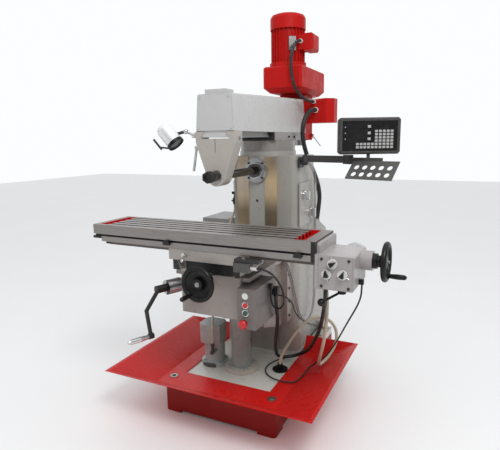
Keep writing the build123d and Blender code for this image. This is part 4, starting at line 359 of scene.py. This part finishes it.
def round_axis(place, way, reach):
    """A test for faces around a line."""
    return lambda middle, normal: off_axis(middle, place, way) < reach


def turned(way, least):
    """A test for faces that look along a way."""
    return lambda middle, normal: normal.dot(Vector(way)) > least


def both(*tests):
    """A test for faces that pass every test."""
    return lambda middle, normal: all(test(middle, normal) for test in tests)


def either(*tests):
    """A test for faces that pass any of the tests."""
    return lambda middle, normal: any(test(middle, normal) for test in tests)


whole_nodes = {
    "machine_base": base_paint_shaded,
    "chip_tray": tray_paint,
    "foot_fasteners": bolt_steel,
    "motor_cover": beige_paint,
    "spindle": bright_steel,
    "drive_motor": dark_paint,
    "motor_pulley": cast_iron,
    "ram": pale_paint,
    "quill": turned_steel,
    "vertical_spindle": turned_steel,
    "quill_lever": bright_steel,
    "stop_button": red_plastic,
    "start_button": white_plastic,
    "feed_button": green_plastic,
    "emergency_button": red_plastic,
    "crank_handle": bright_steel,
    "clamp_lever": bright_steel,
    "feed_lever": black_plastic,
    "cross_wheel": black_plastic,
    "table_wheel": black_plastic,
    "cabinet": cabinet_paint,
    "cabinet_door": cabinet_paint,
    "upper_speed_knob": bright_steel,
    "lower_speed_knob": bright_steel,
    "dro_bracket": dark_paint,
    "dro_arm": arm_paint,
    "dro_display": case_plastic,
    "lamp_arm": bright_steel,
    "drain_strainer": black_plastic,
}
for name, look in whole_nodes.items():
    dress(name, look)

up = (0, 0, 1)
front = (0, -1, 0)
flat_enough = 0.9
partly_turned = 0.5

# Table: slots, troughs at both ends and the groove along its front
slot_space = both(between("z", 905, 952.5), between("y", -540, -282))
trough_space = both(slot_space, either(between("x", -604, -556), between("x", 410, 458)))
groove = both(between("z", 894, 907), between("y", -540.6, -526))
dress("table", table_iron,
      (slot_iron, slot_space), (tray_paint, trough_space), (black_steel, groove))
bracket_top = both(over("x", 488), over("z", 950), turned(up, flat_enough))
dress("table_trim", black_steel, (table_iron, bracket_top))

# Column: selector plate on the left side
selector_plate = both(under("x", -152.2), under("y", 123))
lower_plate = both(selector_plate, between("z", 960, 1064))
upper_plate = both(selector_plate, between("z", 1063.99, 1126))
dress("column", column_look, (black_plastic, lower_plate), (bright_steel, upper_plate))

# Spindle line: screws of the cover, the arbor's end nut, fittings of the support and painted shade on the
# turret's front
cover_screws = under("y", 2.8)
arbor_nut = under("y", -461)
support_pipe = both(under("x", -101.2), under("z", 1350))
support_screw = over("x", 101.2)
support_bush = round_axis((0, 0, 1190), front, 31.2)
# Dark paint on the turret's front faces is painted shade under the ram.
turret_front_shade = both(turned(front, partly_turned), over("z", 1346))
dress("spindle_bearing_set", turned_steel, (black_steel, cover_screws))
dress("arbor", bar_steel, (black_steel, arbor_nut))
dress("arbor_support", grey_paint,
      (bright_steel, support_pipe), (bolt_steel, support_screw), (turned_steel, support_bush))
dress("turret", turret_paint_shaded, (dark_paint, turret_front_shade))

# Foot: the pedestal's flange and the pump's outlet
pedestal_flange = under("z", 190)
pump_outlet = under("y", -256)
dress("pedestal", pedestal_paint, (beige_paint, pedestal_flange))
dress("coolant_pump", pump_paint, (plate_paint, pump_outlet))

# Knee and saddle: rubber apron, fittings on the sides, bare ways, dial of the crank and glands
knee_apron = both(under("y", -500.2), between("z", 755, 816), between("x", -126, 126))
knee_ways = both(over("z", 754.5), over("y", -500), turned(up, flat_enough))
knee_fittings = either(under("x", -190.2), over("x", 190.2))
crank_dial = both(over("y", -594), over("z", 600))
saddle_wiper = both(under("z", 817.7), turned(front, partly_turned))
button_rings = under("y", -540.6)
control_glands = over("x", 243)
switch_body = under("z", 848)
switch_gland = both(over("x", 239), under("z", 842))
switch_screws = over("z", 862.1)
dress("knee", knee_paint_shaded, (black_rubber, knee_apron), (black_steel, knee_fittings), (table_iron, knee_ways))
dress("knee_crank", black_steel, (turned_steel, crank_dial))
dress("saddle", saddle_paint_shaded, (black_rubber, saddle_wiper))
dress("control_box", box_paint_shaded, (bright_steel, button_rings), (black_rubber, control_glands))
dress("limit_switch", dark_paint,
      (plate_paint, switch_body), (white_plastic, switch_gland), (bolt_steel, switch_screws))

# Feed gearbox: screws, end of the boss, cable elbow and motor
gear_screws = under("y", -549.2)
boss_end = over("x", 705)
cable_elbow = both(over("x", 660.4), under("z", 800))
feed_motor = over("y", -300)
dress("feed_gearbox", gear_paint,
      (black_steel, gear_screws), (turned_steel, boss_end), (black_plastic, cable_elbow),
      (pale_paint, feed_motor))

# Head: cable glands and the quill's collar
motor_gland = both(under("y", 432.6), near((98, 427, 1905), 20))
cable_gland = near((140, 552, 1573), 20)
conduit_gland = near((152, 552, 1524), 24)
quill_collar = both(under("z", 1399), round_axis((0, 690, 0), up, 72))
dress("head_motor", red_paint, (white_plastic, motor_gland))
dress("vertical_head", red_paint,
      (white_plastic, cable_gland), (white_plastic, conduit_gland), (turned_steel, quill_collar))

# Readout: tool plate under the arm
tool_plate = under("z", 1242)
dress("dro_link", arm_paint, (plate_paint, tool_plate))

# Selector dials: black pointer on a white face in a bright rim
dial_middles = {
    "left_dial": (555, -550, 832),
    "centre_dial": (578, -550, 876),
    "right_dial": (618, -550, 836),
}
dial_rim = 19.3
dial_pointer = under("y", -560.1)


def on_rim(place):
    """A test for faces on the rim of the dial at a place."""
    return lambda middle, normal: off_axis(middle, place, front) > dial_rim


for name, place in dial_middles.items():
    dress(name, white_plastic, (black_plastic, dial_pointer), (bright_steel, on_rim(place)))

# Work lamp: black front ring, lens and grip bar
lamp_ball = Vector((-157, -410, 1391.2))
lamp_way = Vector((0.67, 0.02, -0.74)).normalized()
lamp_length = 108
lamp_radius = 38
lamp_ring = 15
lens_depth = 1
grip_gap = 3
lens_turn = 0.95
lamp_back = lamp_ball + Vector((-63, -41, -19)) - lamp_way * lamp_length / 2


def lamp_depth(middle):
    return (middle - lamp_back).dot(lamp_way)


def on_lamp_ring(middle, normal):
    return lamp_depth(middle) > lamp_length - lamp_ring


def on_lens(middle, normal):
    return lamp_depth(middle) < lamp_length - lens_depth and normal.dot(lamp_way) > lens_turn


def on_grip(middle, normal):
    return off_axis(middle, lamp_back, lamp_way) > lamp_radius + grip_gap


dress("lamp_head", lamp_steel, (black_plastic, on_lamp_ring), (glass, on_lens), (dark_paint, on_grip))


# Cables and hoses

cord_points = {
    "motor_cable": [
        (98, 421, 1905), (98, 387, 1905), (90, 354, 1878), (76, 336, 1826), (75, 330, 1764),
        (82, 330, 1702), (96, 336, 1646), (116, 362, 1600), (132, 408, 1578), (138, 460, 1571),
        (140, 506, 1573), (140, 546, 1573),
    ],
    "head_conduit": [
        (152, 546, 1524), (152, 506, 1524), (147, 459, 1516), (139, 421, 1490), (131, 395, 1450),
        (127, 386, 1402), (128, 391, 1344), (141, 412, 1268), (168, 438, 1186), (196, 462, 1102),
        (207, 480, 1016), (200, 478.9, 933.5), (200, 449.1, 870.2),
    ],
    "switch_cable": [
        (264, -563, 826), (294, -563, 826), (322, -544, 806), (337, -514, 770), (342, -484, 730),
        (341, -456, 690), (332, -432, 652), (320, -417, 624), (301, -408, 606), (278, -402, 603),
        (259, -396, 617), (252, -392, 654), (252, -392, 688),
    ],
    "feed_conduit": [
        (260, -350, 654), (260, -350, 598), (260, -330, 540), (244, -298, 474), (218, -252, 398),
        (190, -196, 318), (172, -138, 254), (166, -96, 216), (180, -44, 190), (228, -10, 192),
        (290, -12, 226), (336, -66, 286), (378, -136, 358), (424, -216, 442), (470, -314, 546),
        (502, -396, 638), (520, -440, 682), (520, -440, 756),
    ],
    "knee_cable": [
        (254, -328, 640), (278, -328, 640), (298, -316, 630), (304, -278, 602), (297, -218, 556),
        (280, -164, 514), (267, -78, 452), (258, 10, 396), (253, 100, 346), (250, 190, 302),
        (247, 274, 266), (240, 344, 230), (240, 400, 230),
    ],
    "scale_cables": [
        (170, -275, 838), (170, -249, 838), (192, -226, 828), (226, -214, 800), (254, -204, 752),
        (267, -186, 686), (269, -152, 610), (265, -106, 536), (256, -50, 462), (248, 14, 402),
        (242, 88, 358), (239, 162, 337), (238, 228, 346), (238, 264, 396), (239, 276, 470),
        (238, 280, 556), (239, 280, 642), (240, 277, 728), (239, 275, 814), (238, 276, 900),
        (238, 280, 986), (239, 280, 1070), (240, 264, 1142), (240, 218, 1196), (227, 168, 1228),
        (227, 128, 1228),
    ],
    "feed_cable": [
        (672, -456, 778), (672, -456, 748), (667, -453, 718), (656, -445, 688), (640, -431, 655),
        (618, -410, 613), (585, -372, 549), (551, -325, 481), (515, -272, 415), (478, -216, 351),
        (438, -160, 290), (391, -116, 240), (362, -106, 210), (344, -120, 195), (336, -154, 185),
        (331, -196, 181), (324, -238, 178), (302, -262, 177), (262, -272, 178), (212, -262, 175),
        (158, -230, 171), (126, -182, 170), (118, -124, 169), (134, -64, 169), (170, -10, 169),
        (216, 34, 170), (233, 98, 171), (229, 172, 178), (231, 240, 199), (233, 306, 207),
        (234, 356, 206), (234, 400, 206),
    ],
    "return_hose": [
        (470, -300, 850.2), (470, -300, 782.2), (480, -300, 716), (487, -298, 652), (485, -291, 588),
        (478, -277, 519), (464, -252, 440), (441, -216, 357), (415, -176, 279), (397, -132, 227),
        (398, -86, 213), (412, -40, 221), (429, 0, 246), (441, 32, 284), (443, 50, 326),
        (431, 54, 366), (406, 46, 401), (368, 30, 421), (328, 8, 421), (292, -18, 399),
        (262, -50, 362), (234, -84, 316), (210, -116, 266), (194, -140, 225), (194, -140, 177),
    ],
    "supply_hose": [
        (-133, -272, 305), (-133, -272, 339), (-132, -271, 371), (-133, -266, 400), (-140, -250, 421),
        (-153, -226, 430), (-170, -196, 434), (-189, -166, 442), (-205, -136, 462), (-216, -104, 496),
        (-221, -70, 540), (-222, -36, 590), (-220, -2, 640), (-217, 32, 690), (-215, 58, 738),
        (-214, 72, 784), (-211, 77, 832), (-203, 84, 880), (-191, 96, 920), (-183, 110, 952),
        (-183, 110, 988),
    ],
}
cord_radii = {
    "motor_cable": 0.0085,
    "head_conduit": 0.013,
    "switch_cable": 0.0045,
    "feed_conduit": 0.009,
    "knee_cable": 0.0035,
    "scale_cables": 0.003,
    "feed_cable": 0.0035,
    "return_hose": 0.008,
    "supply_hose": 0.006,
}
second_scale_cable = Vector((8, 0, 5))
tube_sides = 18
spline_steps = 14
spline_order = 3
ring_start = Vector((0.31, 0.87, 0.38))


def link(name, mesh, look):
    made = bpy.data.objects.new(name, mesh)
    bpy.context.scene.collection.objects.link(made)
    mesh.materials.append(look.material)
    return made


def smooth_line(points):
    """Points along the smooth curve that has these points, in millimetres, as its control points."""
    data = bpy.data.curves.new("route", "CURVE")
    data.dimensions = "3D"
    data.resolution_u = spline_steps
    spline = data.splines.new("NURBS")
    spline.points.add(len(points) - 1)
    for point, place in zip(spline.points, points):
        point.co = (*(Vector(place) / 1000), 1)
    spline.order_u = spline_order
    spline.use_endpoint_u = True
    holder = bpy.data.objects.new("route", data)
    mesh = bpy.data.meshes.new_from_object(holder)
    line = [vertex.co.copy() for vertex in mesh.vertices]
    bpy.data.objects.remove(holder)
    bpy.data.meshes.remove(mesh)
    return line


def tube_mesh(name, line, radius, first, last):
    """A round tube along line from point first to point last, ringed so that neighbouring pieces meet."""
    work = bmesh.new()
    across = ring_start
    rings = []
    for index, place in enumerate(line[:last + 1]):
        after = line[min(index + 1, len(line) - 1)]
        before = line[max(index - 1, 0)]
        way = (after - before).normalized()
        across = (across - way * across.dot(way)).normalized()
        if index < first:
            continue
        other = way.cross(across)
        ring = []
        for side in range(tube_sides):
            angle = 2 * math.pi * side / tube_sides
            outward = across * math.cos(angle) + other * math.sin(angle)
            ring.append(work.verts.new(place + outward * radius))
        rings.append(ring)
    for here, ahead_ring in zip(rings, rings[1:]):
        for side in range(tube_sides):
            beside = (side + 1) % tube_sides
            work.faces.new((here[side], here[beside], ahead_ring[beside], ahead_ring[side]))
    if first == 0:
        work.faces.new(rings[0][::-1])
    if last == len(line) - 1:
        work.faces.new(rings[-1])
    mesh = bpy.data.meshes.new(name)
    work.to_mesh(mesh)
    work.free()
    for face in mesh.polygons:
        face.use_smooth = True
    return mesh


def run(line):
    return sum((b - a).length for a, b in zip(line, line[1:]))


def lay_cord(node, look, stretches, shift=Vector((0, 0, 0)), tag=""):
    """A cord as pieces end to end. A stretch is (share of length so far, body it leaves, body it joins)."""
    radius = cord_radii[node]
    line = smooth_line([tuple(Vector(place) + shift) for place in cord_points[node]])
    total = run(line)
    lengths = [run(line[:index + 1]) for index in range(len(line))]
    first = 0
    for number, (share, leaves, joins) in enumerate(stretches):
        last = min(range(len(line)), key=lambda index: abs(lengths[index] - share * total))
        piece = link(f"{node}{tag}_{number + 1}", tube_mesh(node, line, radius, first, last), look)
        if leaves == joins:
            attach(piece, leaves)
        else:
            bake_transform(piece)
        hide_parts(node)
        first = last


lay_cord("motor_cable", black_rubber, [(1, "head", "head")])
lay_cord("head_conduit", black_rubber, [(0.3, "head", "ram"), (1, "ram", "stand")])
lay_cord("switch_cable", black_rubber, [(1, "saddle", "knee")])
lay_cord("feed_conduit", black_rubber,
         [(0.36, "knee", "stand"), (0.49, "stand", "stand"), (0.64, "stand", "knee"),
          (0.8, "knee", "saddle"), (1, "saddle", "table")])
lay_cord("knee_cable", black_rubber, [(1, "knee", "stand")])
for tag, shift in (("_left", Vector((0, 0, 0))), ("_right", second_scale_cable)):
    lay_cord("scale_cables", sheath_grey,
             [(0.16, "saddle", "knee"), (0.42, "knee", "stand"), (1, "stand", "stand")],
             shift, tag)
lay_cord("feed_cable", black_rubber,
         [(0.15, "table", "saddle"), (0.28, "saddle", "knee"), (0.42, "knee", "stand"),
          (1, "stand", "stand")])
lay_cord("return_hose", hose_beige,
         [(0.18, "table", "saddle"), (0.34, "saddle", "knee"), (0.48, "knee", "stand"),
          (1, "stand", "stand")])
lay_cord("supply_hose", hose_beige, [(1, "stand", "stand")])


# Pieces on the CAD: the readout's panel, windows, keys and lights, the motor's plate and the wheels' nuts

sharp_angle = 0.7
disc_sides = 36
metres = 0.001


class Piece:
    """One object made of bevelled blocks and discs, in millimetres."""

    def __init__(self, name, place=Matrix.Identity(4)):
        self.name = name
        self.place = place
        self.work = bmesh.new()

    def settle(self, made, turn, middle, edge):
        bmesh.ops.transform(self.work, matrix=Matrix.Translation(middle) @ turn.to_4x4(), verts=made)
        lines = {line for vert in made for line in vert.link_edges}
        sharp = [line for line in lines if line.calc_face_angle(0) > sharp_angle]
        bmesh.ops.bevel(self.work, geom=sharp, offset=edge, segments=2, profile=0.5, affect="EDGES")

    def block(self, size, middle, edge, turn=Matrix.Identity(3)):
        made = bmesh.ops.create_cube(self.work, size=1)["verts"]
        bmesh.ops.scale(self.work, vec=size, verts=made)
        self.settle(made, turn, middle, edge)

    def disc(self, radius, height, middle, way, edge):
        sizes = {"radius1": radius, "radius2": radius, "depth": height}
        made = bmesh.ops.create_cone(self.work, cap_ends=True, segments=disc_sides, **sizes)["verts"]
        self.settle(made, Vector(way).to_track_quat("Z", "Y").to_matrix(), middle, edge)

    def fit(self, look, body):
        """Puts the piece in place, to move with a body."""
        bmesh.ops.transform(self.work, matrix=self.place, verts=self.work.verts)
        bmesh.ops.scale(self.work, vec=(metres, metres, metres), verts=self.work.verts)
        mesh = bpy.data.meshes.new(self.name)
        self.work.to_mesh(mesh)
        self.work.free()
        made = link(self.name, mesh, look)
        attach(made, body)


readout_turn = Matrix.Rotation(math.radians(25), 4, "Z")
readout_place = Matrix.Translation((597.686, -43.547, 1359)) @ readout_turn
panel_size = (249.6, 1.6, 134.6)
panel_y = -21.2
window_size = (92, 0.9, 23)
window_x = -58
window_y = -22.1
window_heights = (42, 13, -16)
panel_edge = 0.5
window_edge = 0.3
panel = Piece("readout_panel", readout_place)
panel.block(panel_size, (0, panel_y, 0), panel_edge)
panel.fit(black_plastic, "dro_display")
windows = Piece("readout_windows", readout_place)
for z in window_heights:
    windows.block(window_size, (window_x, window_y, z), window_edge)
windows.fit(screen_plastic, "dro_display")
key_size = (13, 1.8, 10.5)
key_y = -22.6
key_edge = 0.6
key_columns = (29, 46.7, 64.5, 82.2, 99.6)
key_rows = (21.2, 6.8, -7.5, -21.9, -36.3, -50.7)
low_key_columns = (-56.2, -39.1, -22.1, -5.1, 12)
key_places = [(x, z) for x in key_columns for z in key_rows]
key_places += [(x, z) for x in low_key_columns for z in key_rows[-2:]]
axis_key_size = (14, 1.8, 12)
axis_key_x = -3.6
axis_key_heights = (42.3, 13.1, -13.1)
keys = Piece("readout_keys", readout_place)
for x, z in key_places:
    keys.block(key_size, (x, key_y, z), key_edge)
for z in axis_key_heights:
    keys.block(axis_key_size, (axis_key_x, key_y, z), key_edge)
keys.fit(key_plastic, "dro_display")
light_radius = 2.6
light_height = 1.6
light_x = -112
light_y = -22.4
light_heights = (40, 13, -13)
light_edge = 0.4
lights = Piece("readout_lights", readout_place)
for z in light_heights:
    lights.disc(light_radius, light_height, (light_x, light_y, z), front, light_edge)
lights.fit(key_plastic, "dro_display")

motor_middle = Vector((0, 483, 1893))
motor_plate_size = (41, 5, 76)
motor_plate_edge = 0.6
motor_fin_tips = 100
motor_plate_turn = Matrix.Rotation(math.radians(35.4), 3, "Z")
motor_plate_middle = motor_middle + motor_plate_turn @ Vector((0, -motor_fin_tips, 0))
motor_plate = Piece("motor_plate")
motor_plate.block(motor_plate_size, motor_plate_middle, motor_plate_edge, motor_plate_turn)
motor_plate.fit(bright_steel, "head")

hub_reach = 25


def hub_end(node, place, way):
    """The middle of a wheel's hub face: the furthest point along the way among those near the axis."""
    spots = [vertex.co * 1000 for vertex in nodes[node].data.vertices]
    close = [spot for spot in spots if off_axis(spot, place, way) < hub_reach]
    furthest = max((spot - Vector(place)).dot(Vector(way)) for spot in close)
    return Vector(place) + Vector(way) * furthest


washer_radius = 11
washer_height = 3
washer_rise = 1.2
washer_edge = 0.6
nut_radius = 7
nut_height = 8
nut_rise = 5
nut_edge = 1.2
wheel_axes = {
    "cross_wheel": ((0, 0, 738), front),
    "table_wheel": ((0, -411, 867), (1, 0, 0)),
}
for name, (place, way) in wheel_axes.items():
    hub = hub_end(name, place, way)
    nut = Piece(name + "_nut")
    nut.disc(washer_radius, washer_height, hub + Vector(way) * washer_rise, way, washer_edge)
    nut.disc(nut_radius, nut_height, hub + Vector(way) * nut_rise, way, nut_edge)
    nut.fit(bolt_steel, name)


# Floor and studio light

def area_light(name, place, target, size, power):
    data = bpy.data.lights.new(name, "AREA")
    data.size = size
    data.energy = power
    made = bpy.data.objects.new(name, data)
    bpy.context.scene.collection.objects.link(made)
    made.location = place
    made.rotation_euler = (Vector(target) - Vector(place)).to_track_quat("-Z", "Y").to_euler()


floor_mesh = bpy.data.meshes.new("floor")
floor_half = 14
corner_signs = ((-1, -1), (1, -1), (1, 1), (-1, 1))
corners = [(x * floor_half, y * floor_half, 0) for x, y in corner_signs]
floor_mesh.from_pydata(corners, [], [(0, 1, 2, 3)])
floor_look = Look("floor", 0.6)
floor_look.colour(floor_look.mix(floor_look.noise(1.5), (0.86, 0.86, 0.86), (0.9, 0.9, 0.9)))
link("floor", floor_mesh, floor_look)

world = bpy.data.worlds.new("studio")
bpy.context.scene.world = world
world.use_nodes = True
sky = world.node_tree
sky_place = sky.nodes.new("ShaderNodeTexCoord").outputs["Generated"]


def facing(direction, low, high):
    """1 where the sky lies in that direction, 0 well away from it."""
    made = sky.nodes.new("ShaderNodeVectorMath")
    made.operation = "DOT_PRODUCT"
    sky.links.new(sky_place, made.inputs[0])
    made.inputs[1].default_value = direction
    spread = sky.nodes.new("ShaderNodeMapRange")
    spread.interpolation_type = "SMOOTHSTEP"
    sky.links.new(made.outputs["Value"], spread.inputs["Value"])
    spread.inputs["From Min"].default_value = low
    spread.inputs["From Max"].default_value = high
    return spread.outputs["Result"]


sky_colour = (0.97, 0.985, 1, 1)
dimmest_sky = 0.32
brightest_sky = 1.0
brightest = sky.nodes.new("ShaderNodeMath")
brightest.operation = "MAXIMUM"
sky.links.new(facing(up, 0.25, 0.8), brightest.inputs[0])
sky.links.new(facing(ahead, 0.35, 0.75), brightest.inputs[1])
strength = sky.nodes.new("ShaderNodeMapRange")
strength.inputs["To Min"].default_value = dimmest_sky
strength.inputs["To Max"].default_value = brightest_sky
sky.links.new(brightest.outputs[0], strength.inputs["Value"])
sky.nodes["Background"].inputs["Color"].default_value = sky_colour
sky.links.new(strength.outputs["Result"], sky.nodes["Background"].inputs["Strength"])
area_light("key", place=(1.7, -1.9, 3.5), target=(0, -0.1, 1.0), size=1.3, power=55)
area_light("fill", place=(-2.8, -2.6, 2.0), target=(0, 0, 0.8), size=1.8, power=6)
bpy.context.scene.view_settings.view_transform = "Standard"
